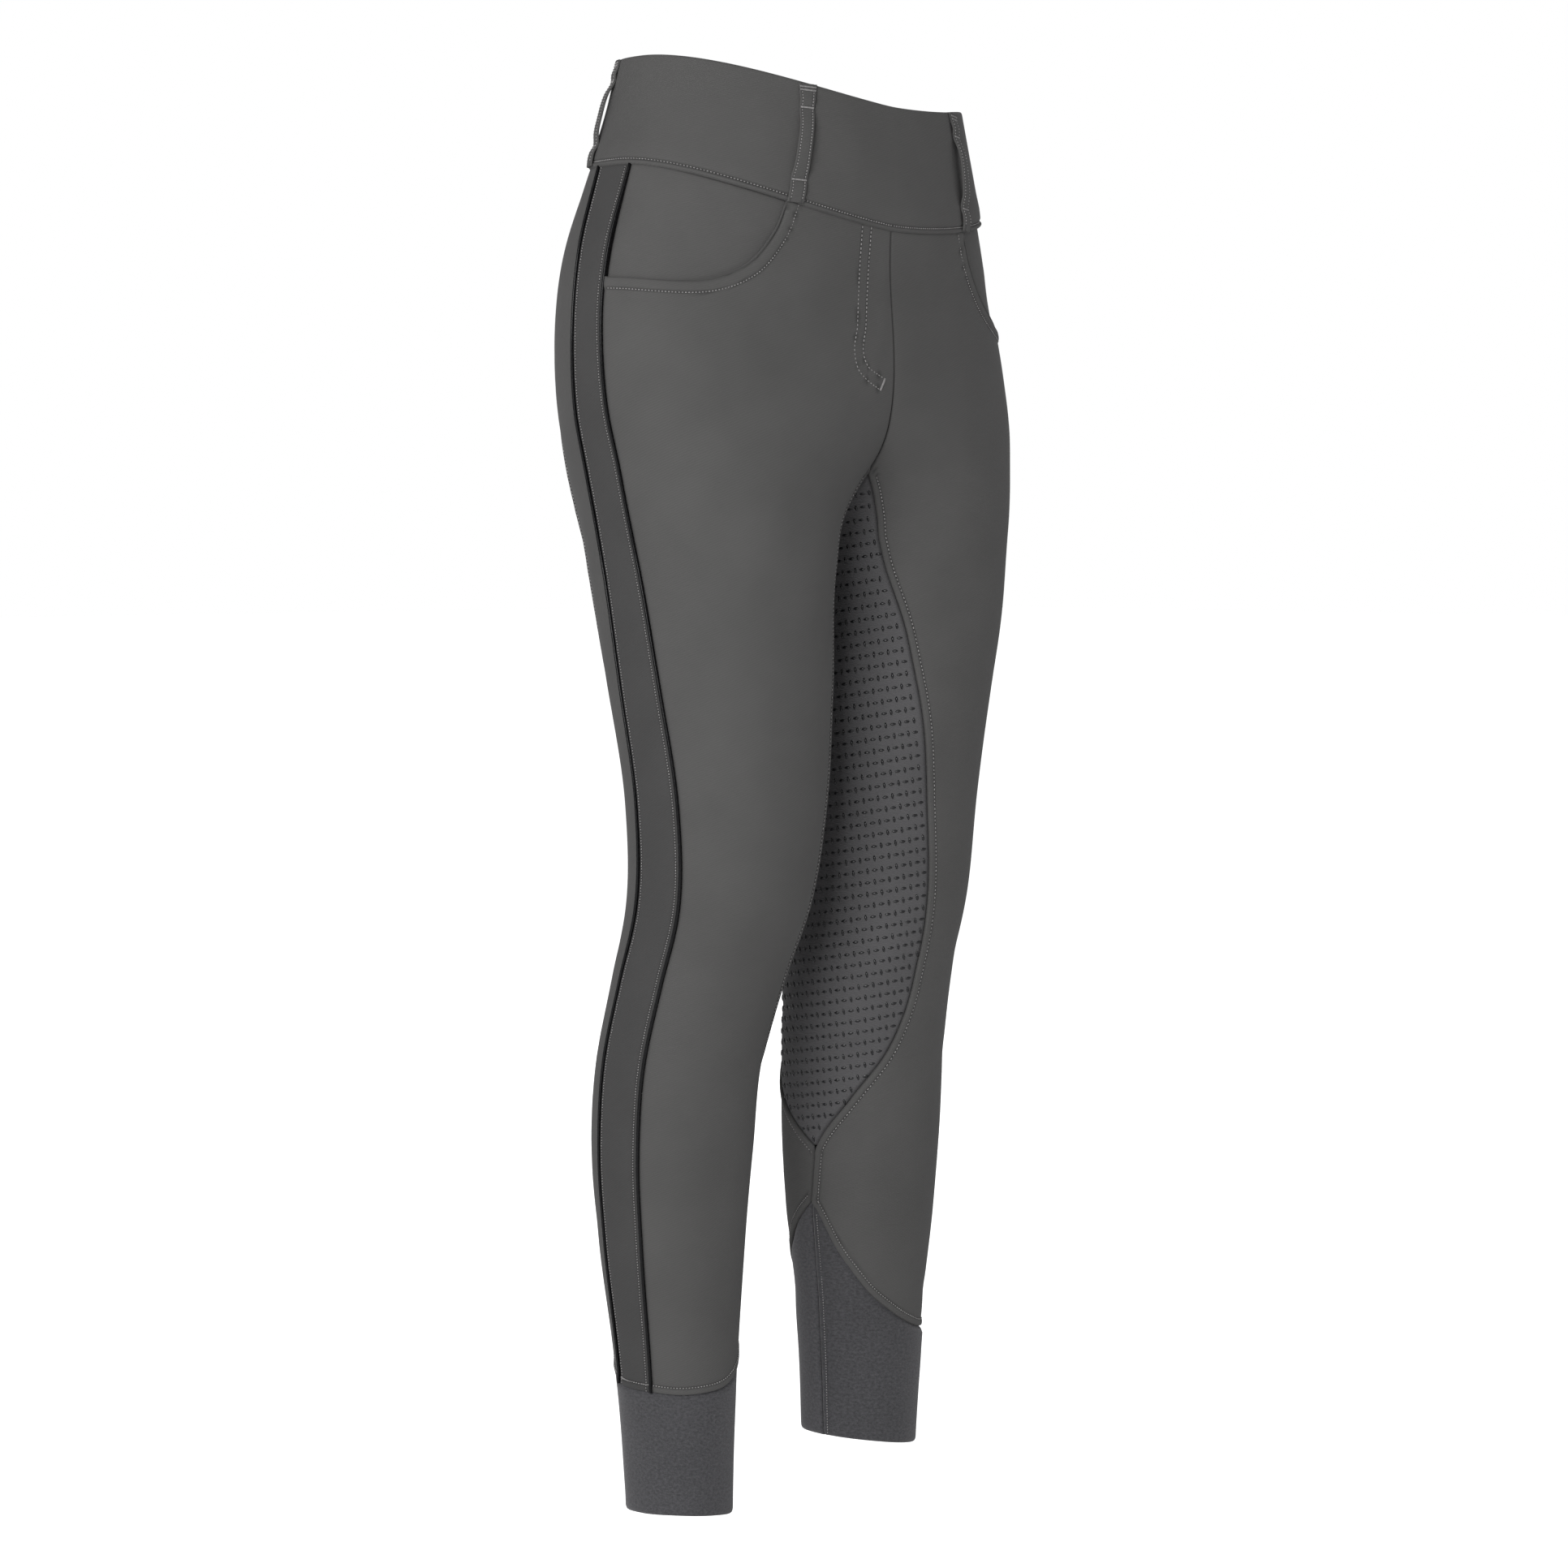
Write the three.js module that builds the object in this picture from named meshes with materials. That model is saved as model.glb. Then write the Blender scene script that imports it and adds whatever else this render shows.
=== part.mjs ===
// Riding leggings, filled out as worn and hollow, open at the waist and at both hems.
// Millimetres, +Z up, +X to the wearer's left, +Y behind the wearer.
// The origin is at the centre of the waist, half way up the waistband.
//
// Each side of the garment is one surface: an angle round the half body and a height.
// The angle is 0 at the outer side, -90 at the front and +90 at the back. Below the crotch
// it runs on to 180 at the inner leg, so each leg is a whole tube. Every cloth piece is a
// patch of that surface between its own seams, given a thickness.
import * as THREE from 'three';

// ---------- driving dimensions ----------
const SHELL_WALL = 1.6;         // softshell with its bonded back
const FACING_WALL = 1.2;        // pocket facing, one layer
const CUFF_WALL = 1.4;          // jersey cuff
const BAND_INSIDE = -1.4;       // waistband, inner face from the shell's outer face
const BAND_PROUD = 1.2;         // waistband, outer face
const BAND_EDGE = 0.4;          // waistband, outer face at its two edges
const BAND_LIP = 3;             // height over which the band's edges round off
const SEAM_GAP = 0.3;
const PIPING_RADIUS = 1.3;
const PIPING_LIFT = 0.3;        // piping centre above the shell's outer face
const CUFF_OVERLAP = 8;         // cuff carried up behind the shell's hem
const CUFF_GAP = 0.8;           // clear of the flat faces of the shell round it
const FACING_OVERLAP = 10;      // facing carried under the pocket edge
const FACING_GAP = 1.2;         // clear of the flat faces of the panel over it

// Each cuff's hem is a tilted ring: its middle height, and how much higher its highest point
// is, at the angle in degrees.
const CUFF_HEM = {
  right: { level: -951.5, tilt: 5, angle: -41 },
  left: { level: -941.5, tilt: 6, angle: 150 },
};
const FORK_HEIGHT = -233;       // where the front seam of the grip leaves the centre front
const KNEE_POINT = -710;        // lower point of the grip
const GRIP_END = -708;          // the grip stops just above that point
const SPLIT_TOP = -752;         // top of the split in the shell's hem, at the inner leg
const SPLIT_ANGLE = 152;
const KNEE_POINT_ANGLE = 158;
const HEM_SIDE = -861;          // the shell's hem at the outer side
const SEAT_FOLD = -300;         // where the back seam passes from the seat to the thigh
const MID_THIGH = -450;

// Waist seam and band top: heights at the centre front and at the side, and how they run between.
const WAIST_FRONT = -71;
const WAIST_SIDE = -41;
const WAIST_BACK_RISE = 12;
const BAND_TOP_FRONT = 11;
const BAND_TOP_SIDE = 33;
const BAND_TOP_BACK_RISE = 9;
const WAIST_DIP = 1.6;          // power of the dip to the front

const HIP_DROP = 0.07;          // the left hip hangs lower than the right by this slope
const HIP_DROP_FULL = -120;
const HIP_DROP_NONE = -300;

const LOOP_WIDTH = 11.2;
const LOOP_THICKNESS = 1.5;
const LOOP_BELOW = 1.5;         // top of a loop below the band's top edge
const LOOP_TAIL = 1.2;          // loop below the waist seam

const MOUTH_TURN = [0.1, 0.75]; // shares of the pocket mouth between which it turns a quarter
const MOUTH_HALF = 0.45;        // share of it that is the facing's upright side
const MOUTH_MM_PER_DEGREE = 2.2;
const FACING_RISE = [0.3, 0.9]; // shares over which the facing comes out from under the panel

// ---------- sections and seams ----------
// Half-body sections. centre: middle of the half section from the middle plane. half: its half
// width. sway: how far behind the origin it lies. front and back: its depth each way.
const FORM = table(['z', 'centre', 'half', 'sway', 'front', 'back'], [
  [60, 0, 130, 0, 96, 80],
  [0, 0, 143, 0, 102, 92],
  [-50, 0, 160, 0, 102, 107],
  [-100, 3, 172.5, 1, 101, 120],
  [-150, 15, 169.5, 1, 102, 123],
  [-200, 49, 133.5, 1, 101, 116],
  [-235, 73, 101, 1, 99, 106],
  [-260, 82, 88, 0, 95, 97],
  [-300, 84, 80, -2, 90, 88],
  [-380, 82, 74, -6, 81, 77],
  [-460, 82, 67, -10, 72, 66],
  [-530, 82, 61, -12, 67, 61],
  [-580, 82, 58, -8, 63, 58],
  [-640, 82, 56, 2, 58, 58],
  [-700, 82, 55, 8, 54, 60],
  [-760, 82, 49, 12, 49, 58],
  [-840, 82, 41, 15, 42, 50],
  [-900, 82, 37, 15, 39, 45],
  [-940, 82, 36, 15, 38, 43],
]);

// The hips lean to the wearer's left; both legs start from the lean of the last row.
const LEAN = table(['z', 'across'], [
  [60, 3],
  [-50, 3],
  [-100, 3.5],
  [-150, 6.5],
  [-200, 10],
  [-260, 13],
  [-300, 13],
]);

// How each leg stands below the crotch. across: moved to the wearer's left. behind: moved
// back. turn: toes turned out, in degrees. rise: cloth ridden up.
const RIGHT_LEG = table(['z', 'across', 'behind', 'turn', 'rise'], [
  [-278, 0, 0, 0, 0],
  [-290, 0, 0, 0, 0],
  [-320, -2, -2, 0, 0],
  [-380, -5, -6, 0, 0],
  [-460, -7, -9, 0, 0],
  [-530, -10, -2, 0, 0],
  [-580, -11, 12, 0, 0],
  [-640, -13, 18, 0, 0],
  [-700, -14, 15, 0, 0],
  [-760, -15.5, 9, 0, 0],
  [-840, -16.5, 2, 0, 0],
  [-940, -17.5, -1, 0, 0],
]);
const LEFT_LEG = table(['z', 'across', 'behind', 'turn', 'rise'], [
  [-278, 0, 0, 0, 0],
  [-300, 0, 0, 3, 0],
  [-340, -2, 0, 12, 0],
  [-380, -6, 0, 19, 0],
  [-460, -14, 0, 27, 0],
  [-530, -19, 0, 30, 0],
  [-580, -23, 0, 30, 0],
  [-640, -15, 0, 30, 0],
  [-700, -7, 0, 30, 0],
  [-760, -2, 0, 30, 3],
  [-840, 0.5, 0, 30, 14],
  [-940, -2, 0, 30, 15],
]);

// Side stripe: the angles of its two edges.
const STRIPE = table(['z', 'front', 'back'], [
  [-20, -7, 13],
  [-150, -6, 9],
  [-245, -6, 15],
  [-330, -11, 15],
  [-495, -20.5, 14],
  [-630, -21.5, 18],
  [-690, -21, 19],
  [-800, -19, 24],
  [-880, -18.5, 26],
]);
// Front seam of the grip, round the inner side of the leg to the knee point.
const FRONT_SEAM = table(['z', 'angle'], [
  [-233, -135],
  [-266, -140],
  [-300, -141],
  [-356, -139],
  [-412, -135],
  [-469, -133],
  [-525, -131.5],
  [-571, -130.5],
  [-612, -137],
  [-641, -150],
  [-670, -173],
  [-701, -197],
  [-710, -202],
]);
// Back seam of the grip, from the waist over the seat and thigh to the knee point.
const BACK_SEAM = table(['z', 'angle'], [
  [-20, 62],
  [-100, 54],
  [-200, 49],
  [-300, 51],
  [-400, 57],
  [-500, 61],
  [-560, 63],
  [-610, 70],
  [-645, 88],
  [-671, 112],
  [-694, 139],
  [-710, 158],
]);
// Lower edge of the shell, from the split forward round the leg, and backward round it.
const HEM_FRONT = table(['angle', 'z'], [
  [-208, -752],
  [-202, -763],
  [-190, -790],
  [-170, -819],
  [-140, -843],
  [-110, -856],
  [-60, -862],
  [-15, -861],
]);
const HEM_BACK = table(['angle', 'z'], [
  [15, -861],
  [46, -856],
  [85, -828],
  [119, -788],
  [140, -764],
  [152, -752],
]);
// Pocket mouth, from the waist seam down and across to the side stripe.
const POCKET_MOUTH = table(['along', 'angle', 'z'], [
  [0, -59.5, -61],
  [0.22, -57.5, -84],
  [0.45, -51.5, -107],
  [0.65, -41.5, -118.5],
  [1, -8, -119],
]);

// Belt loops: side of the wearer and angle round the waist.
const BELT_LOOPS = [
  { name: 'belt_loop_front_right', side: -1, angle: -61 },
  { name: 'belt_loop_front_left', side: 1, angle: -58.5 },
  { name: 'belt_loop_back_right', side: -1, angle: 20 },
  { name: 'belt_loop_back_left', side: 1, angle: 20 },
  { name: 'belt_loop_centre_back', side: 1, angle: 90 },
];
// A loop from its top to its tail: height as a share of the loop, and how far its outer face
// stands off the waistband's outer face.
const LOOP_PROFILE = table(['share', 'stand'], [
  [0, 1.9],
  [0.06, 2.1],
  [0.13, 2.9],
  [0.2, 2.3],
  [0.32, 4.9],
  [0.55, 5.6],
  [0.7, 4.6],
  [0.8, 2.4],
  [0.88, 3.4],
  [0.94, 3],
  [1, 2],
]);

// ---------- grid counts ----------
// Powers that set points of an edge closer together toward one end.
const CLOSER = { kneePoint: 1.35, crotchBehind: 1.6, crotchAhead: 2 };
const COUNT = {
  centreFront: 6, frontSeam: 16, innerSeam: 2,
  centreBack: 9, crotch: 4,
  waistToPocket: 3, pocketMouth: 8,
  backAcross: 9, gripAcross: 11, stripeAcross: 3,
  facing: 5, cuffRound: 24, cuffDown: 6,
  bandRound: 44, loopAcross: 2, loopDown: 14,
  pipingSides: 6, pocketSide: 7,
};

// ---------- finishes ----------
const FINISH = {
  shell: { color: 0x5c5a59, roughness: 0.85, metalness: 0 },
  stripe: { color: 0x4c4c4d, roughness: 0.85, metalness: 0 },
  grip: { color: 0x4a494c, roughness: 0.7, metalness: 0 },
  cuff: { color: 0x4d4d50, roughness: 0.95, metalness: 0 },
  piping: { color: 0x1c1c1f, roughness: 0.5, metalness: 0 },
};

// ---------- tables and curves ----------

/** A table of rows with named columns; the first column is the one it is read by. */
function table(names, rows) {
  const ordered = rows[0][0] > rows[rows.length - 1][0] ? [...rows].reverse() : rows;
  const columns = {};
  names.forEach((name, k) => {
    columns[name] = ordered.map((row) => row[k]);
  });
  return { keys: columns[names[0]], columns };
}

/** Smooth cubic curve through one column, held level past its two ends. */
function read(tab, name, key) {
  const x = tab.keys;
  const y = tab.columns[name];
  const last = x.length - 1;
  const at = Math.min(Math.max(key, x[0]), x[last]);
  let i = 0;
  while (i < last - 1 && at >= x[i + 1]) i += 1;
  const slope = (k) => (y[k + 1] - y[k]) / (x[k + 1] - x[k]);
  const tangent = (k) => {
    if (k === 0) return slope(0);
    if (k === last) return slope(last - 1);
    const before = x[k] - x[k - 1];
    const after = x[k + 1] - x[k];
    return (slope(k - 1) * after + slope(k) * before) / (before + after);
  };
  const h = x[i + 1] - x[i];
  const t = (at - x[i]) / h;
  const s = 1 - t;
  return (1 + 2 * t) * s * s * y[i] + t * s * s * h * tangent(i)
    + t * t * (3 - 2 * t) * y[i + 1] - t * t * s * h * tangent(i + 1);
}

/** Points f(0) to f(1) in a number of equal steps. */
function sample(steps, f) {
  return Array.from({ length: steps + 1 }, (_, k) => f(k / steps));
}

/** Curves joined end to end, each starting where the one before stops. */
function chain(...curves) {
  return curves.flatMap((curve, k) => (k === 0 ? curve : curve.slice(1)));
}

const mix = (a, b, t) => a + (b - a) * t;
const radians = (degrees) => degrees * Math.PI / 180;
const degrees = (angle) => angle * 180 / Math.PI;

function ease(from, to, x) {
  const t = Math.min(Math.max((x - from) / (to - from), 0), 1);
  return t * t * (3 - 2 * t);
}

// ---------- the body surface ----------

/** Angle at which the half section meets the middle plane; 180 below the crotch. */
function reach(z) {
  const share = Math.min(read(FORM, 'centre', z) / read(FORM, 'half', z), 1);
  return 180 - degrees(Math.acos(share));
}

/** Point of the shell's outer face. side is 1 on the wearer's left and -1 on the right. */
function bodyPoint(side, angle, z) {
  const leg = side > 0 ? LEFT_LEG : RIGHT_LEG;
  const a = radians(angle);
  const depth = Math.sin(a) < 0 ? read(FORM, 'front', z) : read(FORM, 'back', z);
  const outward = read(FORM, 'half', z) * Math.cos(a);
  const backward = depth * Math.sin(a);
  const turn = radians(read(leg, 'turn', z));
  const x = read(FORM, 'centre', z) + outward * Math.cos(turn) - backward * Math.sin(turn);
  const y = read(FORM, 'sway', z) + outward * Math.sin(turn) + backward * Math.cos(turn);
  const across = side * x + read(LEAN, 'across', z) + read(leg, 'across', z);
  const drop = HIP_DROP * ease(HIP_DROP_NONE, HIP_DROP_FULL, z) * across;
  return new THREE.Vector3(across, y + read(leg, 'behind', z), z + read(leg, 'rise', z) - drop);
}

/** Outward unit normal of that face. */
function bodyNormal(side, angle, z) {
  const round = bodyPoint(side, angle + 0.5, z).sub(bodyPoint(side, angle - 0.5, z));
  const up = bodyPoint(side, angle, z + 1).sub(bodyPoint(side, angle, z - 1));
  return round.cross(up).multiplyScalar(side).normalize();
}

/** Heights of the waist seam and of the band's top edge: low in front, high behind. */
function waistSeam(angle) {
  const a = radians(angle);
  const side = Math.max(Math.cos(a), 0);
  return angle < 0 ? mix(WAIST_FRONT, WAIST_SIDE, side ** WAIST_DIP)
    : WAIST_SIDE + WAIST_BACK_RISE * Math.sin(a) ** 2;
}

function bandTop(angle) {
  const a = radians(angle);
  const side = Math.max(Math.cos(a), 0);
  return angle < 0 ? mix(BAND_TOP_FRONT, BAND_TOP_SIDE, side ** WAIST_DIP)
    : BAND_TOP_SIDE + BAND_TOP_BACK_RISE * Math.sin(a) ** 2;
}

/** Height at which the two legs part, found by halving between two sections. */
function forkBottom() {
  let low = SEAT_FOLD;
  let high = FORK_HEIGHT;
  for (let k = 0; k < 40; k += 1) {
    const middle = (low + high) / 2;
    if (reach(middle) < 180 - 1e-6) high = middle;
    else low = middle;
  }
  return high;
}

// ---------- patches and walls ----------

/** Angles and heights inside four edges, each edge a list of [angle, z] pairs. */
function patch(top, bottom, left, right) {
  const across = top.length - 1;
  const down = left.length - 1;
  return left.map((_, j) => top.map((__, i) => {
    const u = i / across;
    const v = j / down;
    return [0, 1].map((k) => mix(left[j][k], right[j][k], u) + mix(top[i][k], bottom[i][k], v)
      - mix(mix(top[0][k], top[across][k], u), mix(bottom[0][k], bottom[across][k], u), v));
  }));
}

/** The patch on the body: a grid of points and normals. */
function onBody(side, grid) {
  return grid.map((row) => row.map(([angle, z]) => ({
    point: bodyPoint(side, angle, z),
    normal: bodyNormal(side, angle, z),
  })));
}

/** 1 if columns, rows and the outward normal follow the right-hand rule, else -1. */
function handedness(grid) {
  const j = Math.floor(grid.length / 2) - 1;
  const i = Math.floor(grid[0].length / 2) - 1;
  const { point, normal } = grid[j][i];
  const across = grid[j][i + 1].point.clone().sub(point);
  const down = grid[j + 1][i].point.clone().sub(point);
  return Math.sign(across.cross(down).dot(normal));
}

/** Moves the edges of a grid in along the surface, by a distance for each edge. */
function trimmed(grid, { top = 0, bottom = 0, left = 0, right = 0 }) {
  const down = grid.length - 1;
  const across = grid[0].length - 1;
  const hand = handedness(grid);
  const alongColumn = (j, i) => grid[Math.min(j + 1, down)][i].point.clone()
    .sub(grid[Math.max(j - 1, 0)][i].point);
  const alongRow = (j, i) => grid[j][Math.min(i + 1, across)].point.clone()
    .sub(grid[j][Math.max(i - 1, 0)].point);
  const fromLeft = (j, i) => alongColumn(j, i).cross(grid[j][i].normal)
    .normalize().multiplyScalar(hand);
  const fromTop = (j, i) => grid[j][i].normal.clone().cross(alongRow(j, i))
    .normalize().multiplyScalar(hand);
  return grid.map((row, j) => row.map(({ point, normal }, i) => {
    const moved = point.clone();
    if (j === 0) moved.addScaledVector(fromTop(j, i), top);
    if (j === down) moved.addScaledVector(fromTop(j, i), -bottom);
    if (i === 0) moved.addScaledVector(fromLeft(j, i), left);
    if (i === across) moved.addScaledVector(fromLeft(j, i), -right);
    return { point: moved, normal };
  }));
}

/** Geometry from points and triangles, turned so that its faces point out. */
function closedGeometry(points, triangles) {
  let volume = 0;
  for (const [a, b, c] of triangles) {
    volume += points[a].dot(points[b].clone().cross(points[c]));
  }
  const index = triangles.flatMap(([a, b, c]) => (volume > 0 ? [a, b, c] : [a, c, b]));
  const geometry = new THREE.BufferGeometry().setFromPoints(points);
  geometry.setIndex(index);
  geometry.computeVertexNormals();
  return geometry;
}

/**
 * A closed wall on a grid. outer and inner are distances from the grid along its normals, as
 * numbers or as functions of the column and row shares. A ring joins its last column to its first.
 */
function wall(grid, { outer = 0, inner = -SHELL_WALL, ring = false } = {}) {
  const down = grid.length - 1;
  const across = grid[0].length - 1;
  const columns = ring ? across : across + 1;
  const height = (offset, i, j) => (
    typeof offset === 'function' ? offset(i / across, j / down) : offset);
  const points = [];
  for (const offset of [outer, inner]) {
    for (let j = 0; j <= down; j += 1) {
      for (let i = 0; i < columns; i += 1) {
        const { point, normal } = grid[j][i];
        points.push(point.clone().addScaledVector(normal, height(offset, i, j)));
      }
    }
  }
  const layer = columns * (down + 1);
  const at = (j, i, face) => face * layer + j * columns + (i % columns);
  const triangles = [];
  const quad = (a, b, c, d) => triangles.push([a, b, c], [a, c, d]);
  for (let j = 0; j < down; j += 1) {
    for (let i = 0; i < across; i += 1) {
      quad(at(j, i, 0), at(j, i + 1, 0), at(j + 1, i + 1, 0), at(j + 1, i, 0));
      quad(at(j, i, 1), at(j + 1, i, 1), at(j + 1, i + 1, 1), at(j, i + 1, 1));
    }
  }
  for (let i = 0; i < across; i += 1) {
    quad(at(0, i, 0), at(0, i, 1), at(0, i + 1, 1), at(0, i + 1, 0));
    quad(at(down, i, 0), at(down, i + 1, 0), at(down, i + 1, 1), at(down, i, 1));
  }
  if (!ring) {
    for (let j = 0; j < down; j += 1) {
      quad(at(j, 0, 0), at(j + 1, 0, 0), at(j + 1, 0, 1), at(j, 0, 1));
      quad(at(j, across, 0), at(j, across, 1), at(j + 1, across, 1), at(j + 1, across, 0));
    }
  }
  return closedGeometry(points, triangles);
}

/** A round cord that follows a line of points and normals, square to it at each point. */
function cord(line, sides) {
  const last = line.length - 1;
  const points = line.flatMap(({ point, normal }, k) => {
    const ahead = line[Math.min(k + 1, last)].point.clone().sub(line[Math.max(k - 1, 0)].point);
    const across = normal.clone().cross(ahead).normalize();
    const centre = point.clone().addScaledVector(normal, PIPING_LIFT);
    return sample(sides - 1, (t) => {
      const a = 2 * Math.PI * t * (sides - 1) / sides;
      return centre.clone()
        .addScaledVector(normal, PIPING_RADIUS * Math.cos(a))
        .addScaledVector(across, PIPING_RADIUS * Math.sin(a));
    });
  });
  const triangles = [];
  for (let k = 0; k < last; k += 1) {
    for (let s = 0; s < sides; s += 1) {
      const next = (s + 1) % sides;
      triangles.push([k * sides + s, k * sides + next, (k + 1) * sides + next]);
      triangles.push([k * sides + s, (k + 1) * sides + next, (k + 1) * sides + s]);
    }
  }
  for (let s = 1; s < sides - 1; s += 1) {
    triangles.push([0, s + 1, s]);
    triangles.push([last * sides, last * sides + s, last * sides + s + 1]);
  }
  return closedGeometry(points, triangles);
}

// ---------- seams as lists of [angle, z] ----------

/** One edge of the side stripe between two heights. */
function stripeEdge(edge, from, to, steps) {
  return sample(steps, (t) => {
    const z = mix(from, to, t);
    return [read(STRIPE, edge, z), z];
  });
}

const POCKET_CORNER = POCKET_MOUTH.columns.z[POCKET_MOUTH.keys.length - 1];
const waistAt = (edge) => waistSeam(read(STRIPE, edge, WAIST_SIDE));
const hemAt = (edge) => read(edge === 'front' ? HEM_FRONT : HEM_BACK, 'z',
  read(STRIPE, edge, HEM_SIDE));

/** Front edge of the stripe in two lengths, above and below the pocket's lower corner. */
const besidePocket = () => stripeEdge('front', waistAt('front'), POCKET_CORNER, COUNT.pocketSide);
const belowPocket = () => stripeEdge('front', POCKET_CORNER, hemAt('front'),
  COUNT.centreFront + COUNT.frontSeam + COUNT.innerSeam);

/** Whole edge of the stripe, with the points that the panel next to it has. */
function wholeEdge(edge) {
  if (edge === 'front') return chain(besidePocket(), belowPocket());
  return stripeEdge('back', waistAt('back'), hemAt('back'),
    COUNT.centreBack + COUNT.crotch + COUNT.frontSeam + COUNT.innerSeam);
}

function centreFront() {
  const top = waistSeam(-90);
  return sample(COUNT.centreFront, (t) => {
    const z = mix(top, FORK_HEIGHT, t);
    return [-reach(z), z];
  });
}

/** Heights of the grip's front seam, closer together round the knee point. */
function frontSeam(end) {
  return sample(COUNT.frontSeam, (t) => {
    const z = mix(FORK_HEIGHT, end, 1 - (1 - t) ** CLOSER.kneePoint);
    return [read(FRONT_SEAM, 'angle', z), z];
  });
}

/** Centre back from the waist to the crotch, then forward to the centre front. */
function centreBackToFork() {
  const top = waistSeam(90);
  const bottom = forkBottom();
  const behind = sample(COUNT.centreBack, (t) => {
    const z = mix(bottom, top, (1 - t) ** CLOSER.crotchBehind);
    return [reach(z), z];
  });
  const ahead = sample(COUNT.crotch, (t) => {
    const z = mix(bottom, FORK_HEIGHT, t ** CLOSER.crotchAhead);
    return [360 - reach(z), z];
  });
  return chain(behind, ahead);
}

/** The grip's back seam, with a point for each point of its other side. */
function backSeam(end) {
  const top = waistSeam(BACK_SEAM.columns.angle[BACK_SEAM.keys.length - 1]);
  const part = (steps, from, to, power = 1) => sample(steps, (t) => {
    const z = mix(from, to, 1 - (1 - t) ** power);
    return [read(BACK_SEAM, 'angle', z), z];
  });
  return chain(
    part(COUNT.centreBack, top, SEAT_FOLD),
    part(COUNT.crotch, SEAT_FOLD, MID_THIGH),
    part(COUNT.frontSeam, MID_THIGH, end, CLOSER.kneePoint),
  );
}

function innerSeam(turns) {
  return sample(COUNT.innerSeam, (t) => [
    mix(KNEE_POINT_ANGLE, SPLIT_ANGLE, t) + turns,
    mix(KNEE_POINT, SPLIT_TOP, t),
  ]);
}

function waistLine(from, to, steps) {
  return sample(steps, (t) => {
    const angle = mix(from, to, t);
    return [angle, waistSeam(angle)];
  });
}

function hemLine(tab, from, to, steps) {
  return sample(steps, (t) => {
    const angle = mix(from, to, t);
    return [angle, read(tab, 'z', angle)];
  });
}

/** The pocket mouth, moved out under the front panel by a distance. */
function pocketMouth(steps, under, from = 0, to = 1) {
  return sample(steps, (t) => {
    const s = mix(from, to, t);
    const turn = radians(90 * ease(...MOUTH_TURN, s));
    const angle = read(POCKET_MOUTH, 'angle', s) - under * Math.cos(turn) / MOUTH_MM_PER_DEGREE;
    const z = read(POCKET_MOUTH, 'z', s) - under * Math.sin(turn);
    return [angle, z];
  });
}

// ---------- the sewn pieces ----------

const HALF_GAP = SEAM_GAP / 2;
const PIPING_ROOM = PIPING_RADIUS + SEAM_GAP + 0.1;
const CROTCH_ROOM = 0.05;       // more between the two grip patches, whose walls lean together
const PIPING_START = 0.2;       // the cord's end below the waist seam, in radii

function frontPanel(side) {
  const left = chain(centreFront(), frontSeam(KNEE_POINT), innerSeam(-360));
  const mouth = pocketMouth(COUNT.pocketMouth, 0);
  const top = chain(waistLine(left[0][0], mouth[0][0], COUNT.waistToPocket), mouth);
  const right = belowPocket();
  top[top.length - 1] = right[0];
  const split = left[left.length - 1];
  const bottom = hemLine(HEM_FRONT, split[0], right[right.length - 1][0], top.length - 1);
  const grid = patch(top, bottom, left, right);
  return wall(trimmed(onBody(side, grid), {
    top: HALF_GAP, left: HALF_GAP, right: PIPING_ROOM,
  }));
}

function backPanel(side) {
  const right = chain(backSeam(KNEE_POINT), innerSeam(0));
  const left = wholeEdge('back');
  const top = waistLine(left[0][0], right[0][0], COUNT.backAcross);
  top[top.length - 1] = right[0];
  const bottom = hemLine(HEM_BACK, left[left.length - 1][0], SPLIT_ANGLE, COUNT.backAcross);
  const grid = patch(top, bottom, left, right);
  return wall(trimmed(onBody(side, grid), {
    top: HALF_GAP, left: PIPING_ROOM, right: HALF_GAP,
  }));
}

function seatGrip(side) {
  const left = backSeam(GRIP_END);
  const ahead = frontSeam(GRIP_END).map(([angle, z]) => [angle + 360, z]);
  const right = chain(centreBackToFork(), ahead);
  const top = waistLine(left[0][0], right[0][0], COUNT.gripAcross);
  top[0] = left[0];
  top[COUNT.gripAcross] = right[0];
  const end = left.length - 1;
  const bottom = sample(COUNT.gripAcross, (t) => [0, 1].map((k) => (
    mix(left[end][k], right[end][k], t))));
  const grid = patch(top, bottom, left, right);
  return wall(trimmed(onBody(side, grid), {
    top: HALF_GAP, left: HALF_GAP, right: HALF_GAP + CROTCH_ROOM,
  }));
}

function sideStripe(side) {
  const left = wholeEdge('front');
  const right = wholeEdge('back');
  const steps = left.length - 1;
  const top = waistLine(left[0][0], right[0][0], COUNT.stripeAcross);
  const bottom = sample(COUNT.stripeAcross, (t) => [0, 1].map((k) => (
    mix(left[steps][k], right[steps][k], t))));
  const grid = patch(top, bottom, left, right);
  return wall(trimmed(onBody(side, grid), {
    top: HALF_GAP, left: PIPING_ROOM, right: PIPING_ROOM,
  }));
}

function piping(side, edge) {
  const line = wholeEdge(edge);
  line[0][1] -= HALF_GAP + PIPING_RADIUS * PIPING_START;
  return cord(onBody(side, [line])[0], COUNT.pipingSides);
}

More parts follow.
